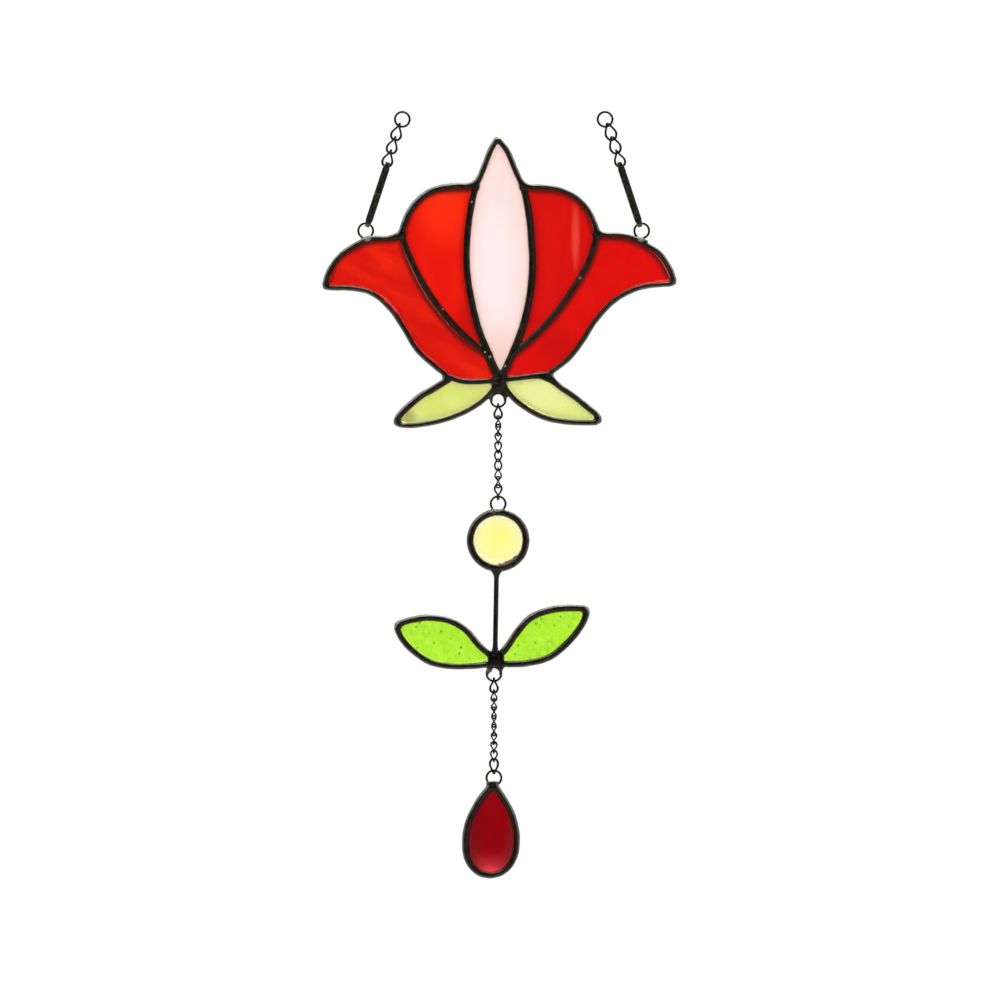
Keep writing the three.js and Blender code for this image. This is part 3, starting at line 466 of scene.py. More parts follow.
def patina_metal(name, dark, light, worn_or_lit, roughness, grain):
    """Metal under brushed-on black patina: mottled, and dull grey where it is marked worn or marked with
    painted light.
    """
    material, tree, place = new_finish(name)
    mottle = add(tree, "TexNoise", {
        "Vector": place, "Scale": 1 / (grain * MM), "Detail": 4.0, "Roughness": 0.6}).outputs["Fac"]
    spread = add(tree, "MapRange", {"Value": mottle, "From Min": 0.35, "From Max": 0.7})
    patina = add(tree, "Mix", {
        MIX_SHARE: spread.outputs[0], MIX_UNDER: linear(dark), MIX_OVER: linear(light)}, data_type="RGBA")
    rubbed_or_lit = add(tree, "Attribute", attribute_name="worn_or_lit").outputs["Fac"]
    patchy = add(tree, "MapRange", {
        "Value": mottle, "From Min": 0.25, "From Max": 0.65, "To Min": 0.55, "To Max": 1.0})
    share = add(tree, "Math", {0: rubbed_or_lit, 1: patchy.outputs[0]}, operation="MULTIPLY").outputs[0]
    colour = add(tree, "Mix", {
        MIX_SHARE: share, MIX_UNDER: patina.outputs[MIXED], MIX_OVER: linear(worn_or_lit)}, data_type="RGBA")
    metallic = add(tree, "MapRange", {"Value": share, "To Min": 1.0, "To Max": GREY_SHARE_METALLIC})
    gloss = add(tree, "MapRange", {
        "Value": mottle, "From Min": 0.3, "From Max": 0.7,
        "To Min": roughness - 0.08, "To Max": roughness + 0.1})
    grit = add(tree, "TexNoise", {"Vector": place, "Scale": 1 / (PATINA_GRIT * MM), "Detail": 2.0})
    bump = add(tree, "Bump", {
        "Height": grit.outputs["Fac"], "Strength": 0.12, "Distance": PATINA_GRIT_DEPTH * MM})
    shader = add(tree, "BsdfPrincipled", {
        "Base Color": colour.outputs[MIXED], "Metallic": metallic.outputs[0],
        "Roughness": gloss.outputs[0], "Normal": bump.outputs[0]})
    add(tree, "OutputMaterial", {"Surface": shader.outputs[0]})
    return material


def streaks(tree, place, width, length, turn, low, high):
    """Soft wisps of one width and length, drawn out along a turned line in the panel's plane."""
    turned = add(tree, "Mapping", {"Vector": place, "Rotation": (0.0, math.radians(turn), 0.0)})
    drawn = add(tree, "Mapping", {
        "Vector": turned.outputs[0], "Scale": (1 / (width * MM), 1 / (width * MM), 1 / (length * MM))})
    wisp = add(tree, "TexNoise", {
        "Vector": drawn.outputs[0], "Scale": 1.0, "Detail": 3.0, "Roughness": 0.5, "Distortion": 0.6})
    return add(tree, "MapRange", {"Value": wisp.outputs["Fac"], "From Min": low, "From Max": high},
               interpolation_type="SMOOTHSTEP").outputs[0]


def soft_spot(tree, place, centre, half_width, half_length):
    """1 at a spot's centre fading to 0 at its edge, in the panel's plane."""
    moved = add(tree, "Mapping", {"Vector": place, "Location": tuple(-c for c in centre)})
    sized = add(tree, "Mapping", {
        "Vector": moved.outputs[0], "Scale": (1 / (half_width * MM), 1.0, 1 / (half_length * MM))})
    ball = add(tree, "TexGradient", {"Vector": sized.outputs[0]}, gradient_type="SPHERICAL")
    return add(tree, "MapRange", {"Value": ball.outputs["Fac"], "From Max": 0.8},
               interpolation_type="SMOOTHSTEP").outputs[0]


def tints(tree, place, origin, table):
    """The soft spots of colour that a table gives, as layers to lay over a base."""
    return [(soft_spot(tree, place, at(point, origin), half_width, half_length), colour)
            for point, half_width, half_length, colour in table]


def finish_glass(tree, place, base, layers, roughness, transmission, ripple, ior=GLASS_IOR):
    """Glass of one colour with tints laid over it by their shares, glossy and wavy from rolling."""
    colour = linear(base)
    for share, tint in layers:
        colour = add(tree, "Mix", {MIX_SHARE: share, MIX_UNDER: colour, MIX_OVER: linear(tint)},
                     data_type="RGBA").outputs[MIXED]
    wave = add(tree, "TexNoise", {"Vector": place, "Scale": 1 / (ripple * MM), "Detail": 2.0})
    bump = add(tree, "Bump", {
        "Height": wave.outputs["Fac"], "Strength": 0.25, "Distance": WAVE_DEPTH * MM})
    shader = add(tree, "BsdfPrincipled", {
        "Base Color": colour, "Roughness": roughness, "IOR": ior,
        "Transmission Weight": transmission, "Normal": bump.outputs[0]})
    add(tree, "OutputMaterial", {"Surface": shader.outputs[0]})


def red_streaky_glass(origin, name, grain, base, wisp):
    """Hand-rolled selenium red sheet: even deep red, with wisps of orange where the colours were stirred, and
    painted shade darkening it under the seams above.
    """
    material, tree, place = new_finish(name)
    painted_shade = add(tree, "Attribute", attribute_name="painted_shade").outputs["Fac"]
    finish_glass(tree, place, base, [
        (streaks(tree, place, width=7.0, length=34.0, turn=grain, low=0.42, high=0.72), wisp),
        *tints(tree, place, origin, RED_TINTS),
        # Painted shade: darker red on the glass under an edge that lies above it
        (painted_shade, "#74100A"),
    ], roughness=0.18, transmission=0.75, ripple=9.0)
    return material


def pink_wispy_glass(origin):
    """White opal stirred with gold pink: nearly white in the middle, pink towards its sides and top."""
    material, tree, place = new_finish("pink wispy opal glass")
    edge = add(tree, "Attribute", attribute_name="edge").outputs["Fac"]
    finish_glass(tree, place, "#FBE0DC", [
        (streaks(tree, place, width=8.0, length=30.0, turn=-6.0, low=0.35, high=0.7), "#FCE6E3"),
        *tints(tree, place, origin, PINK_TINTS),
        (edge, "#F5D0C6"),
    ], roughness=0.25, transmission=0.7, ripple=10.0)
    return material


def lime_opal_glass(origin):
    """Yellow-green opalescent sheet: lime in the clear parts and creamy where the opal is thick."""
    material, tree, place = new_finish("lime opalescent glass")
    edge = add(tree, "Attribute", attribute_name="edge").outputs["Fac"]
    finish_glass(tree, place, "#D8E66E", [
        (streaks(tree, place, width=9.0, length=22.0, turn=62.0, low=0.38, high=0.66), "#E4EE92"),
        *tints(tree, place, origin, LIME_CREAM),
        (edge, "#D8D788"),
        *tints(tree, place, origin, LIME_DULL_TIP),
    ], roughness=0.25, transmission=0.7, ripple=9.0)
    return material


def yellow_rolled_glass(origin):
    """Cadmium yellow rolled glass: pale lemon, paler at its rim, with a ragged brown stain low down."""
    material, tree, place = new_finish("pale yellow rolled glass")
    edge = add(tree, "Attribute", attribute_name="edge").outputs["Fac"]
    low_rim = soft_spot(tree, place, at(BUD_STAIN_PLACE, origin), *BUD_STAIN_SIZE)
    ragged = streaks(tree, place, width=1.4, length=1.4, turn=0.0, low=0.2, high=0.6)
    near = add(tree, "Math", {0: edge, 1: low_rim}, operation="MULTIPLY")
    torn = add(tree, "Math", {0: near.outputs[0], 1: ragged}, operation="MULTIPLY")
    stain = add(tree, "MapRange", {"Value": torn.outputs[0], "From Min": 0.38, "From Max": 0.7})
    finish_glass(tree, place, "#FFFCB4", [
        *tints(tree, place, origin, BUD_HEART),
        (streaks(tree, place, width=5.0, length=12.0, turn=20.0, low=0.45, high=0.8), "#FFFDAC"),
        (edge, "#FEF9CE"),
        (stain.outputs[0], "#5E3E16"),
    ], roughness=0.15, transmission=0.8, ripple=8.0)
    return material


def green_seedy_glass():
    """Bright lime cathedral glass: clear, with faint cords in it."""
    material, tree, place = new_finish("bright lime seedy glass")
    finish_glass(tree, place, "#B7F237", [
        (streaks(tree, place, width=6.0, length=26.0, turn=55.0, low=0.35, high=0.7), "#C4FA47"),
        (streaks(tree, place, width=3.0, length=4.0, turn=20.0, low=0.5, high=0.75), "#A2DE30"),
    ], roughness=0.12, transmission=0.85, ripple=8.0)
    return material


def seed_bubble():
    """Air seed trapped in green glass: its wall bends the light away, so it reads as a darker green fleck."""
    material, tree, place = new_finish("air seeds in green glass")
    finish_glass(tree, place, "#558C1C", [
        (streaks(tree, place, width=0.6, length=0.6, turn=0.0, low=0.3, high=0.7), "#74B22C"),
    ], roughness=0.1, transmission=0.3, ripple=2.0)
    return material


def ruby_pressed_glass(origin):
    """Pressed ruby jewel: deep red, duller at its edge, with painted light and shade of its dome: a brighter
    top, darker flanks and the light gathered in a crescent at its foot.
    """
    material, tree, place = new_finish("ruby pressed glass")
    edge = add(tree, "Attribute", attribute_name="edge").outputs["Fac"]
    finish_glass(tree, place, "#8E000C", [
        (streaks(tree, place, width=5.0, length=18.0, turn=0.0, low=0.3, high=0.7), "#9A000C"),
        (edge, "#70101A"),
        *tints(tree, place, origin, RUBY_PAINTED_LIGHT_AND_SHADE),
    ], roughness=0.2, transmission=0.8, ripple=12.0, ior=1.2)
    return material


# Making of the pieces

node_body = {node: body for body, nodes in frame["record"]["behaviour"]["bodies"].items() for node in nodes}
body_hinge = {joint["parent"]: joint for joint in frame["record"]["behaviour"]["joints"]}


def piece(name, mesh, node, material, stands_in=True):
    """A finished piece in the place of a CAD node or beside it, riding on that node's body."""
    obj = bpy.data.objects.new(name, mesh)
    scene.collection.objects.link(obj)
    mesh.materials.clear()
    mesh.materials.append(material)
    mesh.shade_smooth()
    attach(obj, node_body[node])
    if stands_in:
        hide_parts(node)
    return obj


def to_mesh(name, bm):
    """Turn a bmesh into a mesh and let it go."""
    mesh = bpy.data.meshes.new(name)
    bm.to_mesh(mesh)
    bm.free()
    return mesh


def cast_skin(name, bm, voxel, rounds, lump, lump_size):
    """Fuse overlapping solids into one skin, let it flow smooth and leave it slightly uneven."""
    form = bpy.data.objects.new(name, to_mesh(name, bm))
    scene.collection.objects.link(form)
    fuse = form.modifiers.new("fuse", "REMESH")
    fuse.mode = "VOXEL"
    fuse.voxel_size = voxel * MM
    flow = form.modifiers.new("flow", "SMOOTH")
    flow.factor = FLOW_SHARE
    flow.iterations = rounds
    lumps = bpy.data.textures.new(name, "CLOUDS")
    lumps.noise_scale = lump_size * MM
    uneven = form.modifiers.new("uneven", "DISPLACE")
    uneven.texture = lumps
    uneven.texture_coords = "LOCAL"
    uneven.strength = lump * MM
    bpy.context.view_layer.update()
    mesh = bpy.data.meshes.new_from_object(form.evaluated_get(bpy.context.evaluated_depsgraph_get()))
    mesh.name = name
    bpy.data.objects.remove(form)
    return mesh


def merge_and_face_out(bm):
    """Merge what a full spin leaves doubled and turn the faces out."""
    bmesh.ops.remove_doubles(bm, verts=bm.verts, dist=MERGE_GAP * MM)
    bmesh.ops.recalc_face_normals(bm, faces=bm.faces)


# Solder


def smooth_path(points, origin):
    """Points along a smooth curve through the given points."""
    knots = [at(point, origin) for point in points]
    chords = [(b - a) for a, b in zip(knots, knots[1:])]
    ways = [chords[0].normalized()]
    ways += [(a.normalized() + b.normalized()).normalized() for a, b in zip(chords, chords[1:])]
    ways.append(chords[-1].normalized())
    path = [knots[0]]
    for start, end, chord, leave, arrive in zip(knots, knots[1:], chords, ways, ways[1:]):
        pull = chord.length * RUN_PULL
        count = max(int(chord.length / (BEAD_STEP * MM)), 1) + 1
        path += interpolate_bezier(start, start + leave * pull, end - arrive * pull, end, count)[1:]
    return path


def bead_section(bm, left, right, height):
    """A bead's rounded section square to x, with its own half width on each side of its line."""
    made = bmesh.ops.create_circle(bm, cap_ends=True, segments=BEAD_SIDES, radius=1.0)
    for vert in made["verts"]:
        across, up = vert.co.x, vert.co.y
        size = (abs(across) ** BEAD_POWER + abs(up) ** BEAD_POWER) ** (-1 / BEAD_POWER)
        half_width = left if across > 0 else right
        vert.co = Vector((0.0, up * size * height, across * size * half_width)) * MM
    return made["verts"][0].link_faces[0]


def solder_run(bm, points, origin, outer, inner, glass, height=BEAD_HALF_HEIGHT):
    """One bead of solder extruded along a run of points, wider on the side where the glass lies."""
    path = smooth_path(points, origin)
    half = len(path) // 2
    way = path[half] - path[half - 1]
    aside = Vector((-way.z, 0.0, way.x)).normalized() * inner * MM
    left_gap, right_gap = (glass.find_nearest(path[half] + step)[3] for step in (aside, -aside))
    left, right = (inner, outer) if left_gap < right_gap else (outer, inner)
    run = bmesh.new()
    cap = bead_section(run, left, right, height)
    placed = Matrix.Identity(4)
    for index, point in enumerate(path):
        way = path[min(index + 1, len(path) - 1)] - path[max(index - 1, 0)]
        stand = Matrix.Translation(point) @ Matrix.Rotation(-math.atan2(way.z, way.x), 4, "Y")
        if index:
            grown = bmesh.ops.extrude_face_region(run, geom=[cap])["geom"]
            cap = of_kind(grown, bmesh.types.BMFace)[0]
        bmesh.ops.transform(run, matrix=stand @ placed.inverted(), verts=cap.verts)
        placed = stand
    bmesh.ops.recalc_face_normals(run, faces=run.faces)
    mesh = to_mesh("solder run", run)
    bm.from_mesh(mesh)
    bpy.data.meshes.remove(mesh)


def puddle(bm, point, origin, half_width, half_height, rise=PUDDLE_RISE):
    """A puddle of solder, a little proud of the beads that run into it."""
    size = Vector((half_width, BEAD_HALF_HEIGHT + rise * half_width, half_height)) * MM
    bmesh.ops.create_icosphere(bm, subdivisions=PUDDLE_DETAIL, radius=1.0,
                               matrix=Matrix.LocRotScale(at(point, origin), None, size))


def arc_points(centre, radius, angles):
    """Points at the given angles round a centre, in x and z."""
    return [(centre[0] + radius * math.cos(angle), centre[1] + radius * math.sin(angle)) for angle in angles]


def ring_collar(bm, node, origin, glass):
    """Solder that has run up round the top of a ring."""
    low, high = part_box(node)
    centre = ((low + high) / 2 - origin) / MM
    radius = ((high.x - low.x) / MM - RING_WIRE) / 2
    arc = arc_points(centre.xz, radius, [math.radians(angle) for angle in COLLAR_ANGLES])
    solder_run(bm, arc, origin, COLLAR_HALF_WIDTH, COLLAR_HALF_WIDTH, glass, COLLAR_HALF_WIDTH)


def glass_walls(panes, sides_only=False):
    """Search tree of the panes' faces, or of the cut edges round their outlines alone."""
    corners, faces = [], []
    for pane in panes:
        data = frame["nodes"][pane].data
        kept = [face for face in data.polygons if not sides_only or abs(face.normal.y) < CUT_EDGE_TURN]
        faces += [[len(corners) + index for index in face.vertices] for face in kept]
        corners += [vert.co.copy() for vert in data.vertices]
    return BVHTree.FromPolygons(corners, faces)


def past_glass(glass, point):
    """How far a point lies outside the panes' outlines in the panel's plane, below 0 over the glass."""
    place = flat(point)
    gap = glass.find_nearest(place)[3] / MM
    over = glass.ray_cast(place + BEFORE_PANEL, Vector((0.0, 1.0, 0.0)))[0]
    return gap if over is None else -gap


def mark_worn_or_lit(mesh, glass, wear_and_light, bright, dark):
    """Mark where the patina is rubbed, with painted light on top: rims most where they face up, painted
    highlights on lips along glass, and bright flecks that include painted glints.
    """
    worn_or_lit = mesh.attributes.new("worn_or_lit", "FLOAT", "POINT")
    for vert in mesh.vertices:
        reach = past_glass(glass, vert.co)
        tilt = 1 - abs(vert.normal.y)
        up = vert.normal.z / max(math.hypot(vert.normal.x, vert.normal.z), 1e-6)
        # Painted light and shade: up-facing rims turn grey nearer the glass, and undersides keep little grey
        first = GREY_RIM_START - TOP_PAINTED_LIGHT * max(up, 0.0)
        facing_up = UNDERSIDE_PAINTED_SHADE_SHARE + (1 - UNDERSIDE_PAINTED_SHADE_SHARE) * ramp(up, *FACING_UP)
        shoulder = ramp(tilt, *SHOULDER_TILT) * (1 - SIDE_PATINA * ramp(tilt, *SIDE_TILT))
        rim = ramp(reach, first, first + GREY_RIM_FADE) * shoulder * facing_up
        # Painted highlight: a pale line on the lip along the glass where it faces up to the light
        lip = ramp(tilt, *LIP_TILT) * ramp(up, *LIP_FACING_UP) * (1 - ramp(reach, *LIP_REACH))
        share = wear_and_light * max(rim, LIP_PAINTED_HIGHLIGHT * lip)
        for knot, size in dark:
            share *= ramp((vert.co - knot).xz.length / MM, *(size * fade for fade in KNOT_FADE))
        for spot, size, strength in bright:
            share = max(share, strength * (1 - ramp((vert.co - spot).xz.length / MM, size / 2, size)))
        worn_or_lit.data[vert.index].value = share


def solder_skin(name, bm):
    """One skin of solder over its runs and puddles."""
    return cast_skin(name, bm, SOLDER_VOXEL, SOLDER_FLOW_ROUNDS, SOLDER_LUMP, SOLDER_LUMP_SIZE)


def solder_piece(name, bm, node, glass, material, wear_and_light, bright=(), dark=()):
    """A soldered lattice or rim from its overlapping runs and puddles."""
    mesh = solder_skin(name, bm)
    mark_worn_or_lit(mesh, glass, wear_and_light, bright, dark)
    piece(name, mesh, node, material)


def solder_beads(origin, glass, rim, borders, seams=(), puddles=(), corners=()):
    """The beads round and between panes, with the puddles and rounded corners on them."""
    bm = bmesh.new()
    for inner, run in borders:
        solder_run(bm, run, origin, rim, inner, glass)
    for half_width, run in seams:
        solder_run(bm, run, origin, half_width, half_width, glass)
    for point, half_width, half_height in puddles:
        puddle(bm, point, origin, half_width, half_height)
    for point, radius in corners:
        puddle(bm, point, origin, radius, radius, rise=0.0)
    return bm


def flower_solder(origin, material):
    """The flower's lattice, with fillets in its corners, ring feet, knots and painted glints."""
    glass = glass_walls(FLOWER_PANES)
    seams = FLOWER_SEAMS + [(FILLET_HALF_WIDTH, run) for run in FLOWER_FILLETS]
    seams += [(RING_FOOT_HALF_WIDTH, run) for run in RING_FEET]
    bm = solder_beads(origin, glass, FLOWER_RIM, FLOWER_BORDERS, seams, FLOWER_PUDDLES, FLOWER_CORNERS)
    ring_collar(bm, "flower_low_ring", origin, glass)
    bright = [(at(spot, origin), RING_FOOT_PALE_SIZE, FULL_GREY) for spot in RING_FOOT_PALE]
    # Painted glints: pale spots in the solder's colour standing in for highlights
    bright += [(at(glint, origin), PAINTED_GLINT_SIZE, FULL_GREY) for glint in FLOWER_PAINTED_GLINTS]
    dark = [(at(knot, origin), radius) for knot, radius in FLOWER_DARK_KNOTS]
    solder_piece("flower_solder", bm, "flower_came", glass, material, FLOWER_WEAR_AND_LIGHT, bright, dark)


def leaf_solder(origin, material, knot_material):
    """The rims of the two leaves, and the ball of solder on the knot at their root."""
    glass = glass_walls(LEAF_PANES)
    bm = solder_beads(origin, glass, LEAF_RIM, LEAF_BORDERS, puddles=LEAF_PUDDLES, corners=LEAF_CORNERS)
    ring_collar(bm, "leaf_ring", origin, glass)
    ball = bmesh.new()
    puddle(ball, LEAF_KNOT, origin, *LEAF_KNOT_SIZE, rise=LEAF_KNOT_RISE)
    knot = "leaf_knot_solder"
    piece(knot, solder_skin(knot, ball), "leaf_came", knot_material, stands_in=False)
    dark = [(at(place, origin), radius) for place, radius in LEAF_DARK_KNOTS]
    solder_piece("leaf_solder", bm, "leaf_came", glass, material, LEAF_WEAR_AND_LIGHT, dark=dark)


def bud_solder(origin, material):
    """The round rim of the bud, with the saddle of solder under its ring."""
    glass = glass_walls(["bud_glass"])
    angles = [math.tau * i / BUD_RIM_POINTS for i in range(BUD_RIM_POINTS + 1)]
    rim = arc_points(BUD_MIDDLE, BUD_RIM_RADIUS, angles)
    bm = solder_beads(origin, glass, BUD_RIM_OUTER, [(BUD_RIM_INNER, rim)], puddles=BUD_SADDLES)
    # Painted highlight: a pale spot on the rim beside the ring
    bright = [(at(spot, origin), radius, share) for spot, radius, share in BUD_PAINTED_HIGHLIGHTS]
    solder_piece("bud_solder_rim", bm, "bud_bezel", glass, material, BUD_WEAR_AND_LIGHT, bright)


def drop_solder(origin, material):
    """The rim of the drop and its neck up to the ring."""
    glass = glass_walls(["drop_glass"])
    bm = solder_beads(origin, glass, DROP_RIM, DROP_BORDERS, seams=[(DROP_NECK_HALF_WIDTH, DROP_NECK)])
    solder_piece("drop_solder_rim", bm, "drop_bezel", glass, material, DROP_WEAR_AND_LIGHT)


# Glass


def pane_form(node):
    """A merged copy of a CAD pane."""
    bm = bmesh.new()
    bm.from_mesh(frame["nodes"][node].data)
    bmesh.ops.remove_doubles(bm, verts=bm.verts, dist=MERGE_GAP * MM)
    return bm


def mark_edges(mesh, node):
    """Mark how near each point of a pane is to its edge, and how much that edge lies above it, for painted
    shade under upper edges.
    """
    walls = glass_walls([node], sides_only=True)
    edge = mesh.attributes.new("edge", "FLOAT", "POINT")
    painted_shade = mesh.attributes.new("painted_shade", "FLOAT", "POINT")
    for vert in mesh.vertices:
        place = flat(vert.co)
        wall, _, _, gap = walls.find_nearest(place)
        near = 1 - ramp(gap / MM, EDGE_FULL, EDGE_GONE)
        edge.data[vert.index].value = near
        # Painted shade under upper edges: strongest where the nearest edge lies above
        painted_shade.data[vert.index].value = near * ramp((wall - place).normalized().z, *PAINTED_SHADE_SLOPE)


def glass_pane(name, node, material):
    """A cut pane: the CAD pane grown into its foil, with rounded, slightly wavy faces."""
    mesh = cast_skin(name, pane_form(node), PANE_VOXEL, PANE_FLOW_ROUNDS, PANE_RIPPLE, PANE_RIPPLE_SIZE)
    mark_edges(mesh, node)
    for vert in mesh.vertices:
        vert.co += flat(vert.normal) * PANE_SWELL * MM
    piece(name, mesh, node, material)


def spun(profile, steps):
    """A profile of radius and height points spun about z."""
    bm = bmesh.new()
    verts = [bm.verts.new((radius * MM, 0.0, height * MM)) for radius, height in profile]
    edges = [bm.edges.new(pair) for pair in zip(verts, verts[1:])]
    bmesh.ops.spin(bm, geom=verts + edges, cent=(0, 0, 0), axis=(0, 0, 1), angle=math.tau, steps=steps,
                   use_merge=True)
    merge_and_face_out(bm)
    return bm


def bud_lens(name, node, material):
    """A round of glass, a little domed on both faces."""
    low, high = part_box(node)
    radius = (high.x - low.x) / 2 / MM
    half = (high.y - low.y) / 2 / MM
    slopes = [math.pi / 2 * i / BUD_DOME_STEPS for i in range(BUD_DOME_STEPS + 1)]
    rise = [(radius * math.sin(slope), half + BUD_DOME * math.cos(slope)) for slope in slopes]
    bm = spun(rise + [(r, -h) for r, h in reversed(rise)], BUD_STEPS)
    stand = Matrix.Translation(middle(node)) @ Matrix.Rotation(math.pi / 2, 4, "X")
    bmesh.ops.transform(bm, matrix=stand, verts=bm.verts)
    mesh = to_mesh(name, bm)
    mark_edges(mesh, node)
    piece(name, mesh, node, material)


def leaf_seeds(name, nodes, origin, material):
    """Air seeds lying in the faces of the leaves, drawn out along the way the sheet was rolled."""
    bm = bmesh.new()
    low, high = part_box(nodes[0])
    half_thickness = (high.y - low.y) / 2
    for x, z, half_length in LEAF_SEEDS:
        size = Vector(SEED_SHAPE) * half_length * MM
        turn = Matrix.Rotation(math.radians(SEED_LEAN if x < 0 else -SEED_LEAN), 4, "Y")
        for face in (-half_thickness, half_thickness):
            centre = at((x, z), origin) + Vector((0.0, face, 0.0))
            bmesh.ops.create_icosphere(bm, subdivisions=SEED_DETAIL, radius=1.0,
                                       matrix=Matrix.LocRotScale(centre, turn.to_quaternion(), size))
    piece(name, to_mesh(name, bm), nodes[0], material, stands_in=False)


def ruby_drop(name, node, material):
    """A pressed drop of glass, domed on both faces from its edge inwards."""
    mesh = cast_skin(name, pane_form(node), DROP_VOXEL, PANE_FLOW_ROUNDS, 0.0, PANE_RIPPLE_SIZE)
    mark_edges(mesh, node)
    walls = glass_walls([node], sides_only=True)
    for vert in mesh.vertices:
        gap = walls.find_nearest(flat(vert.co))[3] / MM
        flat_share = 1 - min(gap / DROP_BEVEL, 1.0)
        lift = DROP_DOME * (1 - flat_share ** 2) * ramp(abs(vert.co.y) / MM, *DROP_FACE)
        swell = flat(vert.normal) * DROP_SWELL * MM
        vert.co += swell + Vector((0.0, math.copysign(lift * MM, vert.co.y), 0.0))
    piece(name, mesh, node, material)


# Wire and strip


def wire_hoop(wire, radius, steps):
    """A closed hoop of round wire in the panel's plane."""
    bm = bmesh.new()
    bmesh.ops.create_circle(bm, cap_ends=False, segments=WIRE_SIDES, radius=wire * MM / 2,
                            matrix=Matrix.Translation((radius, 0.0, 0.0)))
    bmesh.ops.spin(bm, geom=bm.verts[:] + bm.edges[:], cent=(0, 0, 0), axis=(0, 1, 0), angle=math.tau,
                   steps=steps, use_merge=True)
    merge_and_face_out(bm)
    return bm


def wire_ring(name, node, material):
    """A round jump ring of wire."""
    low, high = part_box(node)
    radius = (high.x - low.x) / 2 + (WIRE_LIFT - RING_WIRE / 2) * MM
    bm = wire_hoop(RING_WIRE + RING_COAT, radius, RING_STEPS)
    bmesh.ops.translate(bm, vec=(low + high) / 2, verts=bm.verts)
    piece(name, to_mesh(name, bm), node, material)


def upright(low_node, high_node):
    """Turn in the panel's plane that stands z along the line from one node up to another."""
    way = middle(high_node) - middle(low_node)
    return Matrix.Rotation(math.atan2(way.x, way.z), 4, "Y")


def twisted_link(name, node, sizes, lean, material, turned=0.0):
    """A curb chain link: a squarish oval of wire with a quarter twist between its two ends."""
    length, width, wire, coat = sizes
    half_width, half_length = (width - wire) * MM / 2, (length - wire) * MM / 2
    axis = body_hinge[node_body[node]]["axis"]
    roll = math.atan2(axis[1], axis[0]) + LINK_TWIST / 2 + turned
    line_power = 2 / OVAL_POWER
    square_power = 2 - line_power
    bm = wire_hoop(wire + coat, half_width, LINK_STEPS)
    for vert in bm.verts:
        round_way = flat(vert.co)
        out = round_way.length - half_width + WIRE_LIFT * MM
        across, along = round_way.normalized().xz
        share = signed_power(along, line_power)
        line = Vector((half_width * signed_power(across, line_power), 0.0, half_length * share))
        square = Vector((signed_power(across, square_power) / half_width, 0.0,
                         signed_power(along, square_power) / half_length)).normalized()
        turn_here = Matrix.Rotation(roll + LINK_TWIST / 2 * math.sin(math.pi / 2 * share), 3, "Z")
        vert.co = turn_here @ (line + square * out + Vector((0.0, vert.co.y, 0.0)))
    bmesh.ops.transform(bm, matrix=Matrix.Translation(middle(node)) @ lean, verts=bm.verts)
    piece(name, to_mesh(name, bm), node, material)


def draw_strip(bm, edge, levels):
    """Draw a strip's end edge straight on to each level in turn."""
    for level in levels:
        made = bmesh.ops.extrude_edge_only(bm, edges=[edge])["geom"]
        ends = of_kind(made, bmesh.types.BMVert)
        for vert in ends:
            vert.co.z = level
        edge = bm.edges.get(ends)
    return edge


def bend_strip(bm, edge, height):
    """Bend a strip's end edge half round, about a line at a height."""
    made = bmesh.ops.spin(bm, geom=list(edge.verts) + [edge], cent=(0, 0, height), axis=(1, 0, 0),
                          angle=-math.pi, steps=STRAP_BEND_STEPS)["geom_last"]
    return of_kind(made, bmesh.types.BMEdge)[0]


def strap_loop(half, inside, reach, slit):
    """The strip's inner face as a long loop, from its cut end up, down the back and up to its other end."""
    taper = STRAP_TAPER * MM
    cut = slit + STRAP_CUT_EDGE * MM
    bm = bmesh.new()
    edge = bm.edges.new([bm.verts.new((side, -inside, slit)) for side in (-half, half)])
    edge = draw_strip(bm, edge, [cut, 2 * cut, reach - 2 * taper, reach - taper, reach])
    edge = bend_strip(bm, edge, reach)
    edge = draw_strip(bm, edge, [reach - taper, 0.0, -reach + taper, -reach])
    edge = bend_strip(bm, edge, -reach)
    draw_strip(bm, edge, [-reach + taper, -reach + 2 * taper, -2 * cut, -cut, -slit])
    bmesh.ops.recalc_face_normals(bm, faces=bm.faces)
    for share in STRAP_LINES:
        bmesh.ops.bisect_plane(bm, geom=bm.verts[:] + bm.edges[:] + bm.faces[:],
                               plane_co=(share * half, 0, 0), plane_no=(1, 0, 0))
    return bm


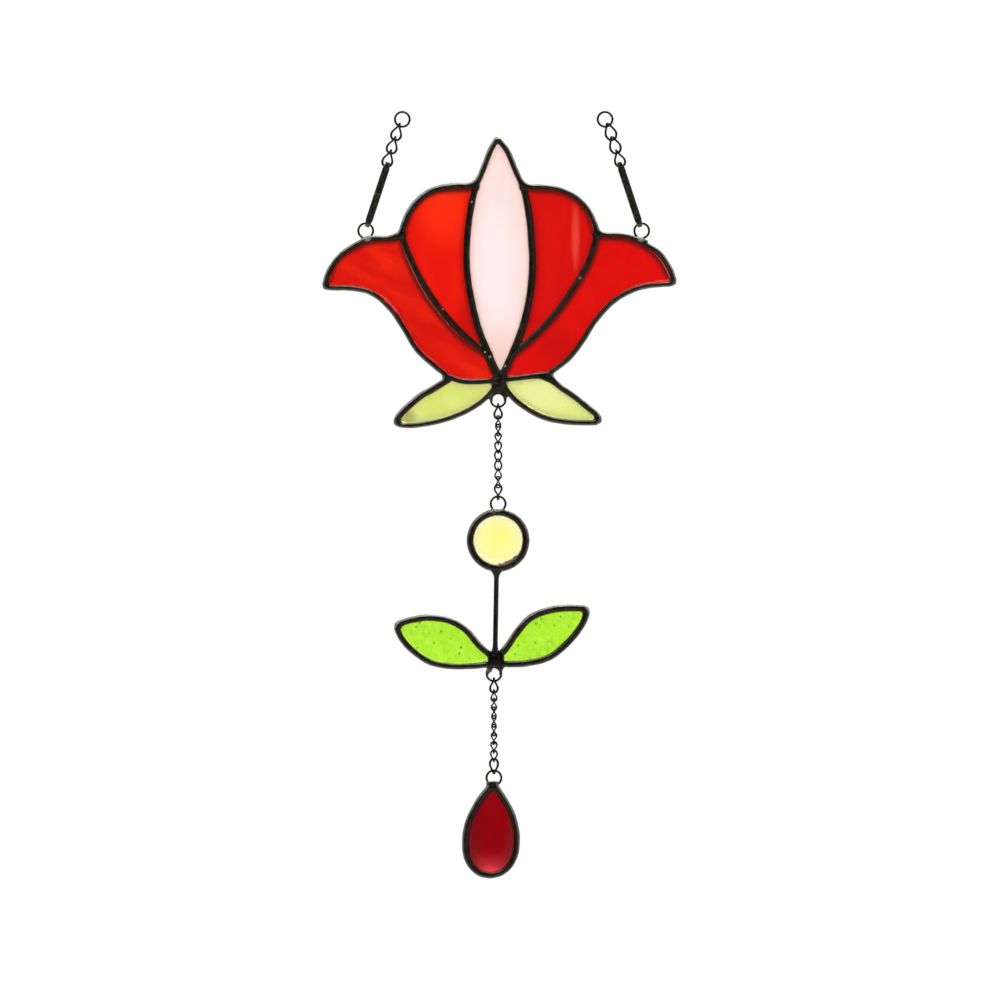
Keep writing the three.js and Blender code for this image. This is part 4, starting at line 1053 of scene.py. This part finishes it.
def folded_strap(name, node, lean, front, material):
    """A flat strip folded into a long loop, its ends butted on one side."""
    half = STRAP_WIDTH * MM / 2
    inside = STRAP_INSIDE * MM / 2
    reach = STRAP_LENGTH * MM / 2 - STRAP_THICKNESS * MM - inside
    slit = STRAP_SLIT * MM / 2
    bm = strap_loop(half, inside, reach, slit)
    worn_or_lit = bm.verts.layers.float.new("worn_or_lit")
    for vert in bm.verts:
        on_cut = vert.co.y < 0 and abs(vert.co.z) < slit + MERGE_GAP * MM
        on_edge = abs(vert.co.x) > STRAP_EDGE_SHARE * half
        vert[worn_or_lit] = FULL_GREY if on_cut else STRAP_EDGE_WEAR if on_edge else STRAP_FACE_WEAR
        near_end = ramp(abs(vert.co.z), reach - STRAP_TAPER * MM, reach + inside)
        vert.co.x *= 1 - near_end * (1 - STRAP_END_WIDTH / STRAP_WIDTH)
    bmesh.ops.solidify(bm, geom=bm.faces, thickness=-STRAP_THICKNESS * MM)
    face_front = Matrix.Identity(4) if front else Matrix.Rotation(math.pi, 4, "Z")
    bmesh.ops.transform(bm, matrix=Matrix.Translation(middle(node)) @ lean @ face_front, verts=bm.verts)
    bmesh.ops.recalc_face_normals(bm, faces=bm.faces)
    strap = piece(name, to_mesh(name, bm), node, material)
    soften = strap.modifiers.new("soft edges", "BEVEL")
    soften.width = STRAP_SOFT_EDGE * MM
    soften.segments = STRAP_SOFT_STEPS
    soften.limit_method = "ANGLE"


def tapered_stem(name, node, origin, material):
    """A straight wire stem with the solder drawn up into a flare at both ends."""
    top, foot = at(STEM_TOP, origin), at(STEM_FOOT, origin)
    length = (top - foot).length / MM
    thin = STEM_DIAMETER / 2
    shares = [index / STEM_FLARE_STEPS for index in range(STEM_FLARE_STEPS + 1)]
    profile = [(0.0, -STEM_END_RISE)]
    for share in shares:
        swell = (STEM_FOOT_FLARE / 2 - thin) * (1 - share) ** STEM_FLARE_POWER
        profile.append((thin + swell, STEM_FOOT_FLARE_LENGTH * share))
    for share in shares:
        swell = (STEM_TOP_FLARE / 2 - thin) * share ** STEM_FLARE_POWER
        profile.append((thin + swell, length - STEM_TOP_FLARE_LENGTH * (1 - share)))
    profile.append((0.0, length + STEM_END_RISE))
    bm = spun(profile, STEM_SIDES)
    for vert in bm.verts:
        depth = abs(vert.co.y) / (STEM_HALF_DEPTH * MM)
        vert.co.y /= (1 + depth ** STEM_FLATNESS) ** (1 / STEM_FLATNESS)
    lean = Matrix.Rotation(math.atan2(top.x - foot.x, top.z - foot.z), 4, "Y")
    bmesh.ops.transform(bm, matrix=Matrix.Translation(foot) @ lean, verts=bm.verts)
    piece(name, to_mesh(name, bm), node, material)


# The hanging, piece by piece

flower_origin = Vector((0.0, 0.0, middle("panel_ring_left").z))
bud_origin = middle("bud_ring")
drop_origin = middle("drop_ring")

# Tin solder run over copper foil, then blackened: dark with a soft sheen, dull grey where it is rubbed, and
# grey as painted light where its rims and lips face up
solder = patina_metal("blackened tin solder", "#1B1914", "#2C2923", worn_or_lit="#918B82", roughness=0.36, grain=2.5)
# The same solder under a thick coat: nearly black, with small sharp lights
knot_solder = patina_metal("thick black patina on solder", "#0B0A0A", "#161413", worn_or_lit="#3A3733",
                           roughness=0.3, grain=2.5)
# Drawn steel wire, blackened: smooth and near black, with a thin line of light along it
wire = patina_metal("blackened drawn wire", "#131210", "#24211E", worn_or_lit="#6A665F", roughness=0.28, grain=1.2)
# Rolled steel strip, blackened: flat dark grey, paler along its edges and at the cut
strip = patina_metal("blackened steel strip", "#211F1C", "#38352F", worn_or_lit="#6A665F", roughness=0.28, grain=1.2)
pink_glass = pink_wispy_glass(flower_origin)
lime_glass = lime_opal_glass(flower_origin)
green_glass = green_seedy_glass()

glass_pane("petal_centre_glass", "petal_centre", pink_glass)
for node, *sheet in RED_SHEETS:
    glass_pane(node + "_glass", node, red_streaky_glass(flower_origin, *sheet))
for node in ("sepal_left", "sepal_right"):
    glass_pane(node + "_glass", node, lime_glass)
for node in LEAF_PANES:
    glass_pane(node + "_glass", node, green_glass)
bud_lens("bud_round_glass", "bud_glass", yellow_rolled_glass(bud_origin))
ruby_drop("drop_jewel", "drop_glass", ruby_pressed_glass(drop_origin))
leaf_seeds("leaf_air_seeds", LEAF_PANES, bud_origin, seed_bubble())

flower_solder(flower_origin, solder)
leaf_solder(bud_origin, solder, knot_solder)
bud_solder(bud_origin, solder)
drop_solder(drop_origin, solder)
tapered_stem("bud_stem", "stem", bud_origin, solder)

for node in ("hang_ring_left", "hang_ring_right", "panel_ring_left", "panel_ring_right", "flower_low_ring",
             "bud_ring", "leaf_ring", "drop_ring"):
    wire_ring(node + "_wire", node, wire)

for side in ("left", "right"):
    lean = upright("panel_ring_" + side, "hang_ring_" + side)
    for level, turn in enumerate(RIGHT_LINK_TURNS, 1):
        node = f"hanger_link_{side}_{level}"
        turned = math.radians(turn) if side == "right" else 0.0
        twisted_link(node + "_wire", node, HANGER_LINK, lean, wire, turned)
    folded_strap(f"strap_{side}_strip", "strap_" + side, lean, side == "left", strip)

for chain, links in CHAIN_LINKS.items():
    for level, sizes in enumerate(links, 1):
        node = f"{chain}_{level}"
        twisted_link(node + "_wire", node, sizes, Matrix.Identity(4), wire)


# Studio


def seen_by_eye(tree, path):
    """1 for what the eye sees, straight or through glass."""
    return add(tree, "Math", {0: path["Is Camera Ray"], 1: path["Is Transmission Ray"]},
               operation="MAXIMUM").outputs[0]


def white_studio():
    """White to the eye and through glass; metal mirrors white behind and above, dim in front and below."""
    world = bpy.data.worlds.new("white studio")
    scene.world = world
    world.use_nodes = True
    tree = world.node_tree
    tree.nodes.clear()
    path = add(tree, "LightPath").outputs
    way = add(tree, "SeparateXYZ", {"Vector": add(tree, "TexCoord").outputs["Generated"]}).outputs
    behind = add(tree, "MapRange", {
        "Value": way["Y"], "From Min": -0.5, "From Max": 0.2, "To Min": ROOM_FRONT, "To Max": 1.0})
    above = add(tree, "MapRange", {
        "Value": way["Z"], "From Min": -0.6, "From Max": 0.5, "To Min": ROOM_BELOW, "To Max": 1.0})
    mirrored = add(tree, "Math", {0: behind.outputs[0], 1: above.outputs[0]}, operation="MULTIPLY")
    lit = add(tree, "Mix", {
        MIX_SHARE: path["Is Glossy Ray"], MIX_FIRST: ROOM_LIGHT, MIX_SECOND: mirrored.outputs[0]},
        data_type="FLOAT")
    strength = add(tree, "Math", {0: seen_by_eye(tree, path), 1: lit.outputs[0]}, operation="MAXIMUM")
    background = add(tree, "Background", {"Color": linear("#FFFFFF"), "Strength": strength.outputs[0]})
    add(tree, "OutputWorld", {"Surface": background.outputs[0]})


def soft_lamp(name, place, size, power):
    """A square softbox turned to the middle of the panel."""
    lamp = bpy.data.lights.new(name, "AREA")
    lamp.size = size
    lamp.energy = power
    obj = bpy.data.objects.new(name, lamp)
    obj.location = place
    target = Vector((0.0, 0.0, VIEW_MIDDLE[1] * MM))
    obj.rotation_euler = (target - obj.location).to_track_quat("-Z", "Y").to_euler()
    scene.collection.objects.link(obj)


def white_floor_paint():
    """Matt white paint: plain and pale, and lifted to the eye, in glass and in metal to the white behind."""
    material, tree = new_material("matt white floor paint")
    path = add(tree, "LightPath").outputs
    seen = add(tree, "Math", {0: seen_by_eye(tree, path), 1: path["Is Glossy Ray"]}, operation="MAXIMUM")
    glow = add(tree, "Math", {0: seen.outputs[0], 1: FLOOR_PALENESS}, operation="MULTIPLY")
    shader = add(tree, "BsdfPrincipled", {
        "Base Color": linear("#F7F7F5"), "Roughness": 0.8,
        "Emission Color": linear("#FFFFFF"), "Emission Strength": glow.outputs[0]})
    add(tree, "OutputMaterial", {"Surface": shader.outputs[0]})
    return material


def pale_floor():
    """A plain round floor far below the panel."""
    bm = bmesh.new()
    bmesh.ops.create_circle(bm, cap_ends=True, segments=FLOOR_SIDES, radius=FLOOR_RADIUS,
                            matrix=Matrix.Translation((0.0, 0.0, FLOOR_HEIGHT)))
    floor = bpy.data.objects.new("floor", to_mesh("floor", bm))
    scene.collection.objects.link(floor)
    floor.data.materials.append(white_floor_paint())


def straight_camera():
    """A camera level with the middle of the view, square to the panel."""
    lens = bpy.data.cameras.new("camera")
    lens.sensor_width = SENSOR_WIDTH
    lens.lens = SENSOR_WIDTH * CAMERA_DISTANCE / VIEW_WIDTH
    camera = bpy.data.objects.new("camera", lens)
    camera.location = Vector((VIEW_MIDDLE[0], -CAMERA_DISTANCE, VIEW_MIDDLE[1])) * MM
    camera.rotation_euler = (math.pi / 2, 0.0, 0.0)
    scene.collection.objects.link(camera)
    scene.camera = camera


white_studio()
for lamp in LAMPS:
    soft_lamp(*lamp)
pale_floor()
straight_camera()
scene.view_settings.view_transform = "Standard"
